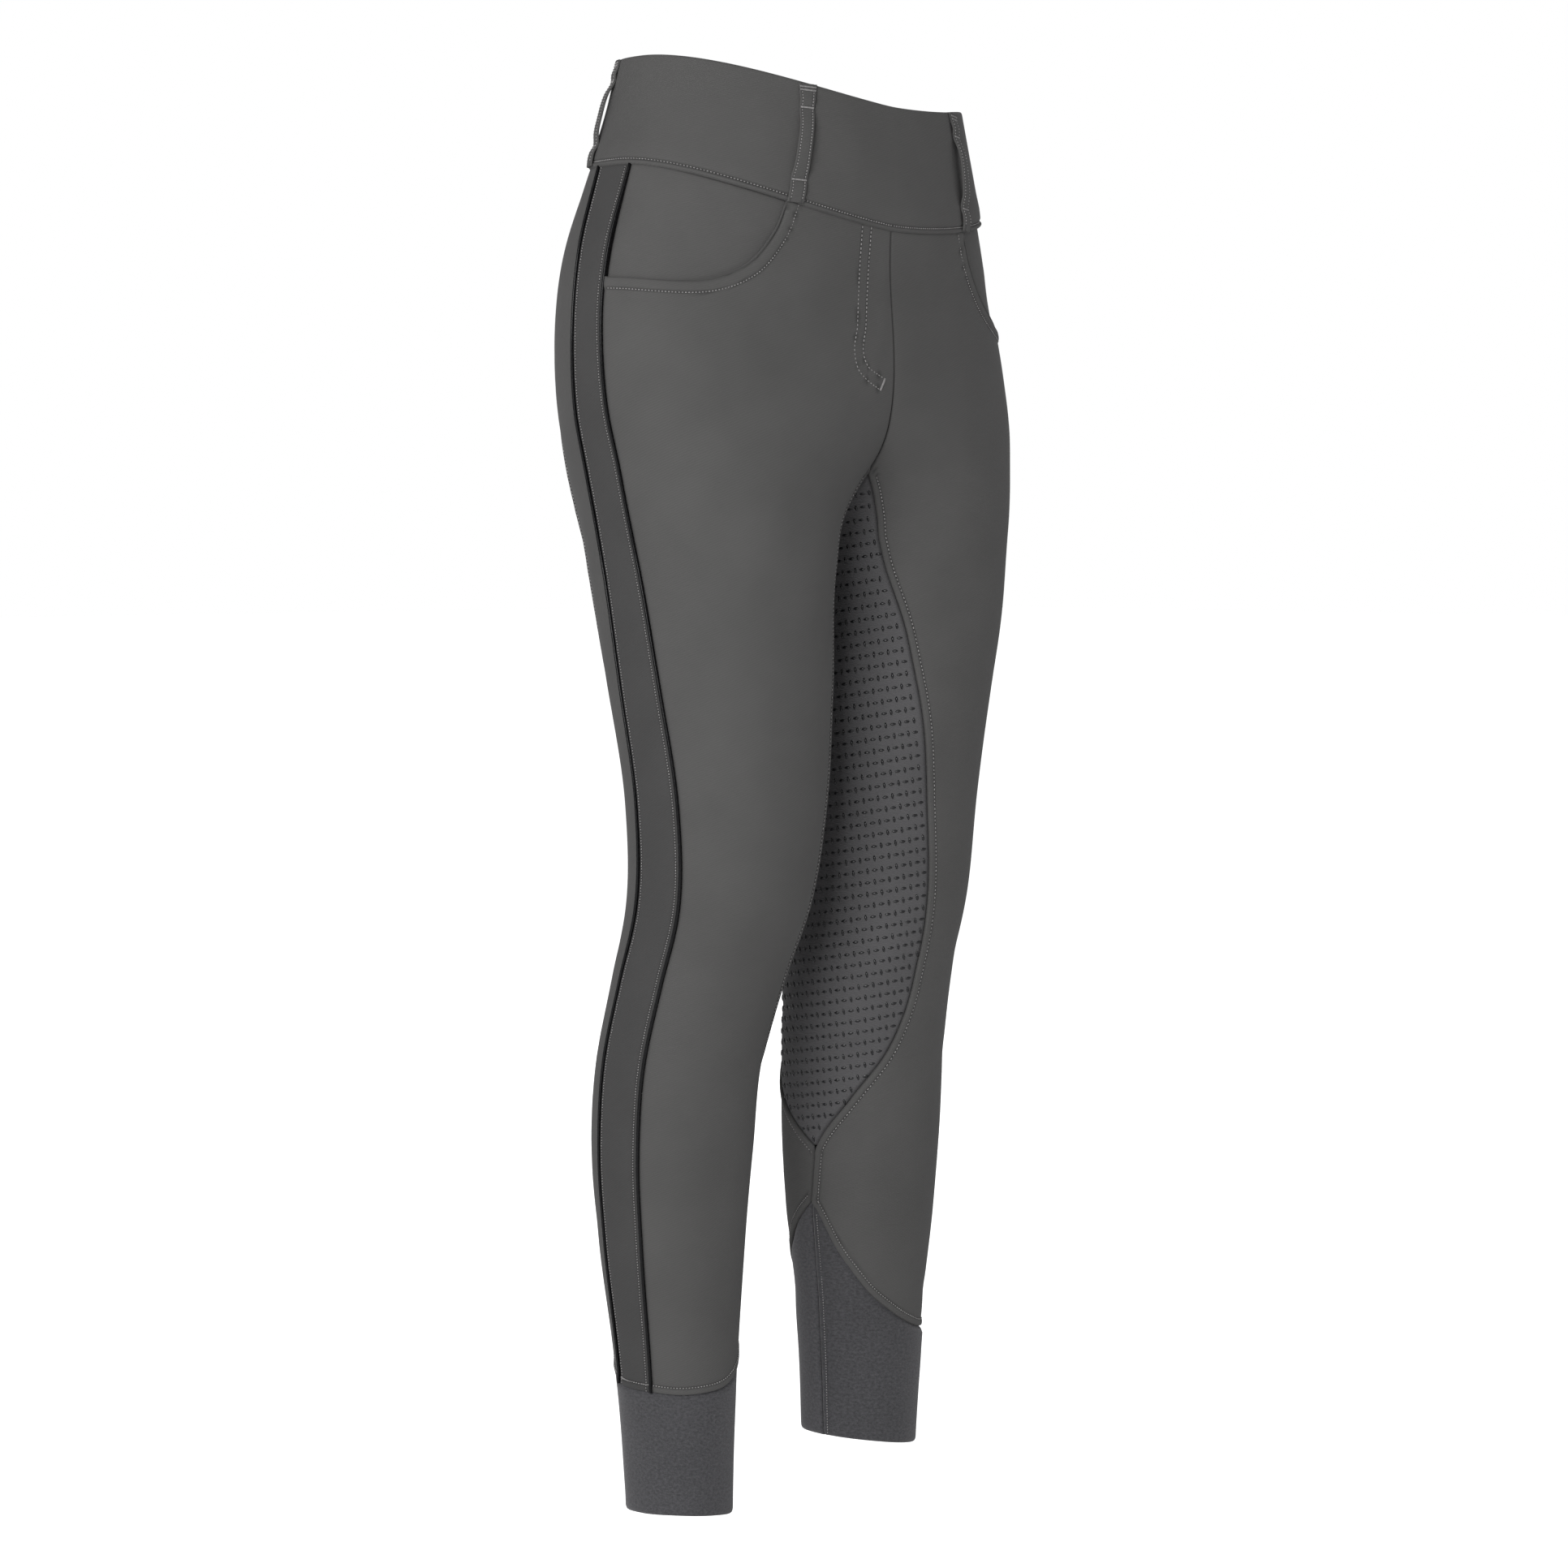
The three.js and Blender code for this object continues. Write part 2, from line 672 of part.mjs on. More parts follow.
/** Facing behind the pocket mouth: level with the stripe at their seam, under the front panel. */
function pocketFacing(side) {
  const n = COUNT.facing;
  const left = pocketMouth(n, FACING_OVERLAP, 0, MOUTH_HALF);
  const bottom = pocketMouth(n, FACING_OVERLAP, MOUTH_HALF, 1);
  left[0][1] = waistSeam(left[0][0]);
  const right = stripeEdge('front', waistAt('front'), bottom[n][1], n);
  bottom[n] = right[n];
  const top = waistLine(left[0][0], right[0][0], n);
  const grid = patch(top, bottom, left, right);
  const under = -(SHELL_WALL + FACING_GAP);
  const outer = (u, v) => under * (1 - ease(...FACING_RISE, Math.min(u, 1 - v)));
  return wall(trimmed(onBody(side, grid), {
    top: HALF_GAP, right: PIPING_ROOM,
  }), { outer, inner: (u, v) => outer(u, v) - FACING_WALL });
}

/** Ankle cuff: a tube that starts behind the shell's hem and rises into its split. */
function cuff(side) {
  const n = COUNT.cuffRound;
  const from = SPLIT_ANGLE - 360;
  const ring = sample(n, (t) => mix(from, SPLIT_ANGLE, t));
  const front = HEM_FRONT.keys[HEM_FRONT.keys.length - 1];
  const shellHem = (angle) => (angle <= front
    ? read(HEM_FRONT, 'z', angle) : read(HEM_BACK, 'z', angle));
  const { level, tilt, angle: high } = side > 0 ? CUFF_HEM.left : CUFF_HEM.right;
  const hem = (angle) => level + tilt * Math.cos(radians(angle - high));
  const grid = sample(COUNT.cuffDown, (v) => ring.map((angle) => [
    angle, mix(shellHem(angle) + CUFF_OVERLAP, hem(angle), v)]));
  const outer = -(SHELL_WALL + CUFF_GAP);
  return wall(onBody(side, grid), { outer, inner: outer - CUFF_WALL, ring: true });
}

/** Waistband: one strip round the body, closed at the centre back. */
function waistband() {
  const shares = sample(COUNT.bandRound / 2, (t) => mix(1, -1, t));
  const rowAt = (height) => shares.map((share) => {
    const z = height(bandTop(share * 90), waistSeam(share * 90));
    return [share * reach(z), z];
  });
  const rows = [
    (top) => top,
    (top) => top - BAND_LIP,
    (top, seam) => mix(top, seam, 1 / 3),
    (top, seam) => mix(top, seam, 2 / 3),
    (top, seam) => seam + BAND_LIP,
    (top, seam) => seam,
  ].map(rowAt);
  const right = onBody(-1, rows);
  const left = onBody(1, rows);
  const grid = right.map((row, k) => [...row, ...left[k].reverse().slice(1)]);
  const outer = (u, v) => (v === 0 || v === 1 ? BAND_EDGE : BAND_PROUD);
  const joined = trimmed(grid, { bottom: HALF_GAP, left: HALF_GAP, right: HALF_GAP });
  return wall(joined, { outer, inner: BAND_INSIDE });
}

/** Belt loop: a narrow strip that stands off the waistband between its tacks. */
function beltLoop({ side, angle }) {
  const top = bandTop(angle) - LOOP_BELOW;
  const bottom = waistSeam(angle) - LOOP_TAIL;
  const across = bodyPoint(side, angle + 1, 0).distanceTo(bodyPoint(side, angle, 0));
  const spread = LOOP_WIDTH / across / 2;
  const grid = sample(COUNT.loopDown, (v) => sample(COUNT.loopAcross, (u) => [
    angle + mix(-spread, spread, u), mix(top, bottom, v)]));
  const outer = (u, v) => read(LOOP_PROFILE, 'stand', v) + BAND_PROUD;
  return wall(onBody(side, grid), { outer, inner: (u, v) => outer(u, v) - LOOP_THICKNESS });
}

// ---------- assembly ----------

const leggings = new THREE.Group();
leggings.name = 'riding_leggings';

function add(name, finish, geometry) {
  const mesh = new THREE.Mesh(geometry, new THREE.MeshStandardMaterial(FINISH[finish]));
  mesh.name = name;
  leggings.add(mesh);
}

add('waistband', 'shell', waistband());
for (const [suffix, side] of [['right', -1], ['left', 1]]) {
  add(`front_panel_${suffix}`, 'shell', frontPanel(side));
  add(`pocket_facing_${suffix}`, 'shell', pocketFacing(side));
  add(`back_panel_${suffix}`, 'shell', backPanel(side));
  add(`seat_grip_${suffix}`, 'grip', seatGrip(side));
  add(`side_stripe_${suffix}`, 'stripe', sideStripe(side));
  add(`piping_front_${suffix}`, 'piping', piping(side, 'front'));
  add(`piping_back_${suffix}`, 'piping', piping(side, 'back'));
  add(`cuff_${suffix}`, 'cuff', cuff(side));
}
for (const loop of BELT_LOOPS) {
  add(loop.name, 'shell', beltLoop(loop));
}

export default leggings;
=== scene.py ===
"""Riding leggings, filled out as worn and hollow: their cloth, stitching, print and finishes.

Each side of the garment is one surface: an angle round the half body and a height. The angle is
0 at the outer side, -90 at the front and +90 at the back. Below the crotch it runs on to 180 at
the inner leg. Every cloth piece is a patch of that surface between its own seams. Shapes are
worked out in millimetres and put into their meshes in metres.
"""

import logging
import math
from dataclasses import dataclass, field
from enum import Enum
from typing import Callable, Optional, Sequence

import bpy
import numpy as np
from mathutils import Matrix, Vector


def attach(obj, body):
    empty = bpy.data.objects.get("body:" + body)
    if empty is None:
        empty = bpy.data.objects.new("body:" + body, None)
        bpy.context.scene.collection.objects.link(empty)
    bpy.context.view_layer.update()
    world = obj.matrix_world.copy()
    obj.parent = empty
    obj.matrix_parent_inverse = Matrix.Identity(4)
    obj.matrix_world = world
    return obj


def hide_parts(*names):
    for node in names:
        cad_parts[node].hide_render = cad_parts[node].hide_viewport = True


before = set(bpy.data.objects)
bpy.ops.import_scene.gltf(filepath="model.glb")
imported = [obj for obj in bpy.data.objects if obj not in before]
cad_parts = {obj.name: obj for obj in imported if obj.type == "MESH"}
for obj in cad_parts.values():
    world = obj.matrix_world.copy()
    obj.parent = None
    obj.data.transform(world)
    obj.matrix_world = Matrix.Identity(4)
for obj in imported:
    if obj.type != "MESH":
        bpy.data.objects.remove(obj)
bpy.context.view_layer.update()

LOG = logging.getLogger("leggings")

Array = np.ndarray
Curve = Callable[[Array], Array]
MM = 0.001

# ---------- sizes, in millimetres ----------
SHELL_WALL = 1.5
FACING_WALL = 1.1
CUFF_WALL = 1.3
FACING_SUNK = 2.2               # facing's face below the panel over it
FACING_OVERLAP = 10.0
MOUTH_TURN = (0.1, 0.75)        # shares of the pocket mouth between which it turns a quarter
MOUTH_HALF = 0.45
MOUTH_MM_PER_DEGREE = 2.2
FACING_RISE = (0.3, 0.9)
CUFF_OVERLAP = 8.0
CUFF_SUNK = 1.9
FORK_HEIGHT = -233.0
KNEE_POINT = -710.0
GRIP_END = -708.0
SPLIT_TOP = -752.0
SPLIT_ANGLE = 152.0
KNEE_POINT_ANGLE = 158.0
HEM_SIDE = -861.0
SEAT_FOLD = -300.0
MID_THIGH = -450.0
WAIST_FRONT, WAIST_SIDE, WAIST_BACK_RISE = -71.0, -41.0, 12.0
BAND_TOP_FRONT, BAND_TOP_SIDE, BAND_TOP_BACK_RISE = 11.0, 33.0, 9.0
WAIST_DIP = 1.6
HIP_DROP, HIP_DROP_FULL, HIP_DROP_NONE = 0.07, -120.0, -300.0
LOOP_WIDTH = 11.2
LOOP_THICKNESS = 1.5
LOOP_BELOW = 1.5
LOOP_TAIL = 1.2
LOOP_STAND = 1.2                # stand of the loop's face above its profile
LOOP_ROW = 1.7                  # rows of stitches from the loop's edges
PIPING_RADIUS = 1.15
PIPING_LIFT = 0.35

LIP_WIDTH = 5.3                 # turned seam edge of the shell over the grip, edge to topstitch
POCKET_LIP = 7.8
HEM_LIP = 5.0
STRIPE_LIP = 3.8
BAND_LIP = 3.4
CENTRE_LIP = 3.2
BAND_ROW = BAND_LIP + 0.4       # the row of stitches above the band's lower edge
LIP_ROOT = 0.7                  # how far below the body surface a lip's edge comes down

# From one stitch to the next in each kind of row.
STITCH_PITCH = 2.4
FRONT_PITCH = 2.7
HEM_PITCH = 2.1
MOUTH_PITCH = 2.2
FLY_PITCH = 2.8
STRIPE_PITCH = 1.9
CUFF_PITCH = 1.9
BAND_PITCH = 2.3
LOOP_PITCH = 2.0
TACK_PITCH = 0.7
STITCH_SHARE = 0.66             # a stitch's length as a share of its pitch
CUFF_STITCH_LENGTH = 1.3
BAND_STITCH_LENGTH = 1.35
CUFF_ROW_END = 2.2              # cuff's row of stitches above its hem

# How far rows of stitches keep from the lines that they would run into.
CORD_CLEAR = 1.9
WAIST_CLEAR = 1.8
INNER_CLEAR = 2.5
LIP_OVERRUN = 0.4               # how far a row runs into the lip that it meets


class Side(Enum):
    """The wearer's side a piece is on; its value is the sign of X there."""

    RIGHT = -1
    LEFT = 1

    @property
    def word(self) -> str:
        """Name of the side, as in the names of its pieces."""
        return self.name.lower()


class Table:
    """Rows of numbers with named columns; the first column is the one it is read by."""

    def __init__(self, names: str, rows: Sequence[Sequence[float]]) -> None:
        """Keeps the rows in rising order of their first column."""
        data = np.array(rows, dtype=float)
        if data[0, 0] > data[-1, 0]:
            data = data[::-1]
        self.keys = data[:, 0]
        self.columns = {name: data[:, k] for k, name in enumerate(names.split())}

    def read(self, name: str, key: Array) -> Array:
        """Smooth cubic curve through one column, held level past its two ends.

        Args:
            name: the column.
            key: places along the first column, of any shape.

        Returns:
            The column's values there.
        """
        x, y = self.keys, self.columns[name]
        at = np.clip(key, x[0], x[-1])
        i = np.clip(np.searchsorted(x, at, side="right") - 1, 0, len(x) - 2)
        gap = np.diff(x)
        slope = np.diff(y) / gap
        inner = (slope[:-1] * gap[1:] + slope[1:] * gap[:-1]) / (gap[1:] + gap[:-1])
        tangent = np.concatenate([slope[:1], inner, slope[-1:]])
        h = gap[i]
        t = (at - x[i]) / h
        s = 1 - t
        return ((1 + 2 * t) * s * s * y[i] + t * s * s * h * tangent[i]
                + t * t * (3 - 2 * t) * y[i + 1] - t * t * s * h * tangent[i + 1])


FORM = Table("z centre half sway front back", [
    (60, 0, 130, 0, 96, 80), (0, 0, 143, 0, 102, 92), (-50, 0, 160, 0, 102, 107),
    (-100, 3, 172.5, 1, 101, 120), (-150, 15, 169.5, 1, 102, 123),
    (-200, 49, 133.5, 1, 101, 116),
    (-235, 73, 101, 1, 99, 106), (-260, 82, 88, 0, 95, 97), (-300, 84, 80, -2, 90, 88),
    (-380, 82, 74, -6, 81, 77), (-460, 82, 67, -10, 72, 66), (-530, 82, 61, -12, 67, 61),
    (-580, 82, 58, -8, 63, 58), (-640, 82, 56, 2, 58, 58), (-700, 82, 55, 8, 54, 60),
    (-760, 82, 49, 12, 49, 58), (-840, 82, 41, 15, 42, 50), (-900, 82, 37, 15, 39, 45),
    (-940, 82, 36, 15, 38, 43)])
LEAN = Table("z across", [(60, 3), (-50, 3), (-100, 3.5), (-150, 6.5), (-200, 10), (-260, 13),
                          (-300, 13)])
STANCE = {
    Side.RIGHT: Table("z across behind turn rise", [
        (-278, 0, 0, 0, 0), (-290, 0, 0, 0, 0), (-320, -2, -2, 0, 0), (-380, -5, -6, 0, 0),
        (-460, -7, -9, 0, 0), (-530, -10, -2, 0, 0), (-580, -11, 12, 0, 0),
        (-640, -13, 18, 0, 0), (-700, -14, 15, 0, 0), (-760, -15.5, 9, 0, 0),
        (-840, -16.5, 2, 0, 0), (-940, -17.5, -1, 0, 0)]),
    Side.LEFT: Table("z across behind turn rise", [
        (-278, 0, 0, 0, 0), (-300, 0, 0, 3, 0), (-340, -2, 0, 12, 0), (-380, -6, 0, 19, 0),
        (-460, -14, 0, 27, 0), (-530, -19, 0, 30, 0), (-580, -23, 0, 30, 0),
        (-640, -15, 0, 30, 0), (-700, -7, 0, 30, 0), (-760, -2, 0, 30, 3),
        (-840, 0.5, 0, 30, 14), (-940, -2, 0, 30, 15)]),
}
STRIPE = Table("z front back", [
    (-20, -7, 13), (-150, -6, 9), (-245, -6, 15), (-330, -11, 15), (-495, -20.5, 14),
    (-630, -21.5, 18), (-690, -21, 19), (-800, -19, 24), (-880, -18.5, 26)])
FRONT_SEAM = Table("z angle", [
    (-233, -135), (-266, -140), (-300, -141), (-356, -139), (-412, -135), (-469, -133),
    (-525, -131.5), (-571, -130.5), (-612, -137), (-641, -150), (-670, -173), (-701, -197),
    (-710, -202)])
BACK_SEAM = Table("z angle", [
    (-20, 62), (-100, 54), (-200, 49), (-300, 51), (-400, 57), (-500, 61), (-560, 63),
    (-610, 70), (-645, 88), (-671, 112), (-694, 139), (-710, 158)])
HEM_FRONT = Table("angle z", [
    (-208, -752), (-202, -763), (-190, -790), (-170, -819), (-140, -843), (-110, -856),
    (-60, -862), (-15, -861)])
HEM_BACK = Table("angle z", [
    (15, -861), (46, -856), (85, -828), (119, -788), (140, -764), (152, -752)])
POCKET_MOUTH = Table("along angle z", [
    (0, -59.5, -61), (0.22, -57.5, -84), (0.45, -51.5, -107), (0.65, -41.5, -118.5),
    (1, -8, -119)])
LOOP_PROFILE = Table("share stand width", [
    (0, 1.9, 1.2), (0.03, 2, 1.17), (0.07, 2.1, 1.07), (0.13, 2.9, 0.95), (0.2, 2.3, 0.93),
    (0.32, 4.9, 0.86),
    (0.55, 5.6, 0.84), (0.7, 4.6, 0.88), (0.8, 2.4, 0.96), (0.88, 3.4, 0.94), (0.94, 3, 0.93),
    (1, 2, 0.93)])
# Where the loops are tacked down, as shares of their length.
LOOP_TACKS = (0.025, 0.052, 0.2, 0.81)
# How dark the jersey is round a cuff, from the seam forward and round to the seam again: an even
# tone on the right, and on the left painted shade of a fold at the front beside the seam that
# fades out towards the back.
CUFF_TONE_AND_PAINTED_SHADE = {
    Side.RIGHT: Table("share tone", [(0, 0.22), (0.5, 0.22), (1, 0.22)]),
    Side.LEFT: Table("share tone", [(0, 0.36), (0.25, 0.28), (0.6, 0.2), (0.85, 0.05), (1, 0)])}
# How the jersey of the cuffs fills out or tapers, on its outer and inner sides.
CUFF_SWELL = {
    Side.RIGHT: Table("z outer inner", [(-850, 0, 0), (-900, -0.6, 0), (-950, -2, 0)]),
    Side.LEFT: Table("z outer inner", [
        (-800, 0, 0.3), (-835, 0.6, 0.6), (-850, 2, 1), (-880, 1.8, 1.5), (-905, 1, 2),
        (-935, 0.4, 2)])}
# Rows of the mock fly's stitching on the right front.
FLY_OUTER = Table("along angle z", [
    (0, -81.2, -70), (0.3, -81.6, -103), (0.6, -82.2, -137), (0.76, -83.4, -158),
    (0.84, -86.4, -168), (0.91, -90.6, -174), (1, -97, -179.5)])
FLY_INNER = Table("along angle z", [
    (0, -83.9, -70), (0.3, -84.2, -103), (0.6, -84.7, -137), (0.78, -86, -157),
    (0.86, -88.6, -164.5), (1, -95.8, -171.5)])
# Cuff seam and its topstitch, down from the split.
CUFF_SEAM = Table("z angle", [(-752, 152), (-860, 151.5), (-940, 154)])
CUFF_STITCH = Table("z angle", [(-762, 155.5), (-860, 156.5), (-940, 159)])


@dataclass(frozen=True)
class TiltedHem:
    """Hem of a cuff: a tilted ring, its middle height, and how much higher its high point is."""

    level: float
    tilt: float
    high: float

    def at(self, angle: Array) -> Array:
        """Heights of the hem: the level plus the tilt times the cosine from the high point."""
        return self.level + self.tilt * np.cos(np.radians(angle - self.high))


CUFF_HEM = {Side.RIGHT: TiltedHem(-951.5, 5.0, -41.0), Side.LEFT: TiltedHem(-941.5, 6.0, 150.0)}


def mix(a: float, b: float, t: Array) -> Array:
    """The value a share t of the way from a to b."""
    return a + (b - a) * t


def ease(low: float, high: float, x: Array) -> Array:
    """Smooth step from 0 at low to 1 at high."""
    t = np.clip((x - low) / (high - low), 0, 1)
    return t * t * (3 - 2 * t)


def spots(angle: Array, z: Array) -> Array:
    """Angles and heights side by side in a last axis of two."""
    return np.stack(np.broadcast_arrays(angle, z), axis=-1).astype(float)


def unit(vectors: Array) -> Array:
    """Vectors of length one."""
    return vectors / np.maximum(np.linalg.norm(vectors, axis=-1, keepdims=True), 1e-9)


def bell(x: Array, width: float, centre: float = 0.0) -> Array:
    """A bell over distances: 1 at its centre and 1/e at a width from it."""
    return np.exp(-((x - centre) / width) ** 2)


def rounded(x: Array) -> Array:
    """How far a quarter-round edge lies below its face: 1 at the rim, 0 a radius in."""
    return 1 - np.sqrt(np.clip(1 - (1 - np.clip(x, 0, 1)) ** 2, 0, 1))


# ---------- the body surface ----------
class Body:
    """The outer face of the shell on both sides of the wearer."""

    def reach(self, z: Array) -> Array:
        """Angle at which a half section meets the middle plane; 180 below the crotch."""
        share = np.minimum(FORM.read("centre", z) / FORM.read("half", z), 1)
        return 180 - np.degrees(np.arccos(share))

    def point(self, side: Side, angle: Array, z: Array) -> Array:
        """Points of the surface: an ellipse at each height, turned and moved with the leg.

        Args:
            side: the wearer's side.
            angle: angles round the half body, in degrees.
            z: heights before the leg's rise and the hip's drop.

        Returns:
            Points in millimetres, with a last axis of three.
        """
        leg = STANCE[side]
        a = np.radians(angle)
        depth = np.where(np.sin(a) < 0, FORM.read("front", z), FORM.read("back", z))
        outward = FORM.read("half", z) * np.cos(a)
        backward = depth * np.sin(a)
        turn = np.radians(leg.read("turn", z))
        x = FORM.read("centre", z) + outward * np.cos(turn) - backward * np.sin(turn)
        y = FORM.read("sway", z) + outward * np.sin(turn) + backward * np.cos(turn)
        across = side.value * x + LEAN.read("across", z) + leg.read("across", z)
        drop = HIP_DROP * ease(HIP_DROP_NONE, HIP_DROP_FULL, z) * across
        return np.stack([across, y + leg.read("behind", z), z + leg.read("rise", z) - drop], -1)

    def normal(self, side: Side, angle: Array, z: Array) -> Array:
        """Outward unit normals, from differences of half a degree and a millimetre."""
        around = self.point(side, angle + 0.5, z) - self.point(side, angle - 0.5, z)
        up = self.point(side, angle, z + 1) - self.point(side, angle, z - 1)
        return unit(np.cross(around, up) * side.value)

    def skin(self, side: Side, angle: Array, z: Array) -> tuple[Array, Array]:
        """Points of the surface and the normals there."""
        return self.point(side, angle, z), self.normal(side, angle, z)

    def fork_bottom(self) -> float:
        """Height at which the two legs part, found by halving between two sections."""
        low, high = SEAT_FOLD, FORK_HEIGHT
        for _ in range(40):
            middle = (low + high) / 2
            if self.reach(np.array(middle)) < 180 - 1e-6:
                high = middle
            else:
                low = middle
        return high

    def offset(self, side: Side, line: Array, distance: float, toward: tuple) -> Array:
        """A line moved along the surface, square to itself.

        Args:
            side: the wearer's side.
            line: angles and heights along the line.
            distance: how far it moves, in millimetres.
            toward: the change of angle and height that points to the side it moves to.

        Returns:
            Angles and heights of the moved line.
        """
        moved = line.copy()
        steps = max(1, int(math.ceil(distance / 2)))
        for _ in range(steps):
            angle, z = moved[:, 0], moved[:, 1]
            around = self.point(side, angle + 0.5, z) - self.point(side, angle - 0.5, z)
            up = (self.point(side, angle, z + 1) - self.point(side, angle, z - 1)) / 2
            run = np.gradient(self.point(side, angle, z), axis=0)
            aside = unit(np.cross(self.normal(side, angle, z), run))
            e, f, g = (around * around).sum(1), (around * up).sum(1), (up * up).sum(1)
            p, q = (aside * around).sum(1), (aside * up).sum(1)
            step = np.stack([(g * p - f * q), (e * q - f * p)], -1) / (e * g - f * f)[:, None]
            sign = np.sign((step * np.array(toward)).sum(1).mean())
            moved = moved + step * sign * distance / steps
        return moved

    def around(self, side: Side, angle: Array, z: Array, start: float) -> Array:
        """Length along the section at a height, from one angle to another.

        Args:
            side: the wearer's side.
            angle: where the lengths end.
            z: the height of each.
            start: the angle from which they are measured.

        Returns:
            Lengths in millimetres, less than nought before the start.
        """
        heights = np.linspace(-945, 60, 202)
        turns = np.arange(-360.0, 361.0, 4.0)
        ring = self.point(side, turns[None, :], heights[:, None])
        steps = np.linalg.norm(np.diff(ring, axis=1), axis=-1)
        run = np.concatenate([np.zeros((len(heights), 1)), np.cumsum(steps, axis=1)], axis=1)

        def look(at: Array) -> Array:
            """Length at an angle, between the four nearest points of the grid."""
            column = np.clip((at - turns[0]) / 4, 0, len(turns) - 1.001)
            row = np.clip((z - heights[0]) / (heights[1] - heights[0]), 0, len(heights) - 1.001)
            i, j = column.astype(int), row.astype(int)
            u, v = column - i, row - j
            return ((run[j, i] * (1 - u) + run[j, i + 1] * u) * (1 - v)
                    + (run[j + 1, i] * (1 - u) + run[j + 1, i + 1] * u) * v)

        return look(np.broadcast_to(angle, np.shape(z)).astype(float)) - look(
            np.full(np.shape(z), float(start)))


BODY = Body()


def waist_seam(angle: Array) -> Array:
    """Height of the waist seam: low in front, high at the sides and behind."""
    a = np.radians(angle)
    side = np.maximum(np.cos(a), 0)
    front = mix(WAIST_FRONT, WAIST_SIDE, side ** WAIST_DIP)
    return np.where(np.asarray(angle) < 0, front, WAIST_SIDE + WAIST_BACK_RISE * np.sin(a) ** 2)


def band_top(angle: Array) -> Array:
    """Height of the waistband's top edge."""
    a = np.radians(angle)
    side = np.maximum(np.cos(a), 0)
    front = mix(BAND_TOP_FRONT, BAND_TOP_SIDE, side ** WAIST_DIP)
    behind = BAND_TOP_SIDE + BAND_TOP_BACK_RISE * np.sin(a) ** 2
    return np.where(np.asarray(angle) < 0, front, behind)


# ---------- seams, as curves of angle and height over a share from 0 to 1 ----------
def chained(*parts: tuple[int, Curve]) -> Curve:
    """Curves joined end to end, each with its own number of equal parts of the whole."""
    total = sum(steps for steps, _ in parts)

    def curve(share: Array) -> Array:
        """The part that each share falls in, at its place along that part."""
        place = np.asarray(share, dtype=float) * total
        out = np.zeros(place.shape + (2,))
        start = 0
        for steps, part in parts:
            inside = place >= start - 1e-9
            out[inside] = part(np.clip((place[inside] - start) / steps, 0, 1))
            start += steps
        return out

    return curve


def read_down(table: Table, name: str, top: float, bottom: float, power: float = 1.0,
              turns: float = 0.0) -> Curve:
    """A seam given by its angle at each height.

    Args:
        table: the table of the seam.
        name: its column of angles.
        top: the height at which the curve starts.
        bottom: the height at which it ends.
        power: over 1, points come closer together below.
        turns: an angle added to all.

    Returns:
        The curve.
    """
    def curve(t: Array) -> Array:
        """The table's angle at heights that fall with the share."""
        z = mix(top, bottom, 1 - (1 - t) ** power)
        return spots(table.read(name, z) + turns, z)
    return curve


def straight(start: tuple, end: tuple) -> Curve:
    """A straight line of angle and height."""
    return lambda t: spots(mix(start[0], end[0], t), mix(start[1], end[1], t))


def waist_line(start: float, end: float) -> Curve:
    """The waist seam from one angle to another."""
    return lambda t: spots(mix(start, end, t), waist_seam(mix(start, end, t)))


def hem_line(table: Table, start: float, end: float) -> Curve:
    """The shell's lower edge from one angle to another."""
    return lambda t: spots(mix(start, end, t), table.read("z", mix(start, end, t)))


def pocket_mouth(under: float = 0.0, start: float = 0.0, end: float = 1.0) -> Curve:
    """The pocket mouth, moved out under the front panel by a distance."""
    def curve(t: Array) -> Array:
        """The mouth at a share, set under in the direction square to it."""
        s = mix(start, end, t)
        turn = np.radians(90 * ease(*MOUTH_TURN, s))
        angle = POCKET_MOUTH.read("angle", s) - under * np.cos(turn) / MOUTH_MM_PER_DEGREE
        return spots(angle, POCKET_MOUTH.read("z", s) - under * np.sin(turn))
    return curve


POCKET_CORNER = float(POCKET_MOUTH.columns["z"][-1])
FORK_BOTTOM = BODY.fork_bottom()


def stripe_top(edge: str) -> float:
    """Height at which one edge of the stripe meets the waist seam."""
    return float(waist_seam(STRIPE.read(edge, WAIST_SIDE)))


def stripe_foot(edge: str) -> float:
    """Height at which it meets the shell's hem."""
    table = HEM_FRONT if edge == "front" else HEM_BACK
    return float(table.read("z", STRIPE.read(edge, HEM_SIDE)))


def centre_front(t: Array) -> Array:
    """The centre front seam from the waist to the fork."""
    z = mix(float(waist_seam(np.array(-90.0))), FORK_HEIGHT, t)
    return spots(-BODY.reach(z), z)


def centre_behind(t: Array) -> Array:
    """The centre back seam from the waist to the bottom of the crotch."""
    z = mix(FORK_BOTTOM, float(waist_seam(np.array(90.0))), (1 - t) ** 1.6)
    return spots(BODY.reach(z), z)


def crotch_ahead(t: Array) -> Array:
    """The seam between the two grips from the crotch's bottom forward to the fork."""
    z = mix(FORK_BOTTOM, FORK_HEIGHT, t ** 2)
    return spots(360 - BODY.reach(z), z)


def inner_seam(turns: float) -> Curve:
    """The seam from the knee point to the top of the hem's split."""
    return straight((KNEE_POINT_ANGLE + turns, KNEE_POINT), (SPLIT_ANGLE + turns, SPLIT_TOP))


def back_seam(end: float) -> Curve:
    """The grip's back seam from the waist over the seat and thigh to the knee point."""
    top = float(waist_seam(np.array(62.0)))
    return chained((9, read_down(BACK_SEAM, "angle", top, SEAT_FOLD)),
                   (4, read_down(BACK_SEAM, "angle", SEAT_FOLD, MID_THIGH)),
                   (16, read_down(BACK_SEAM, "angle", MID_THIGH, end, 1.35)))


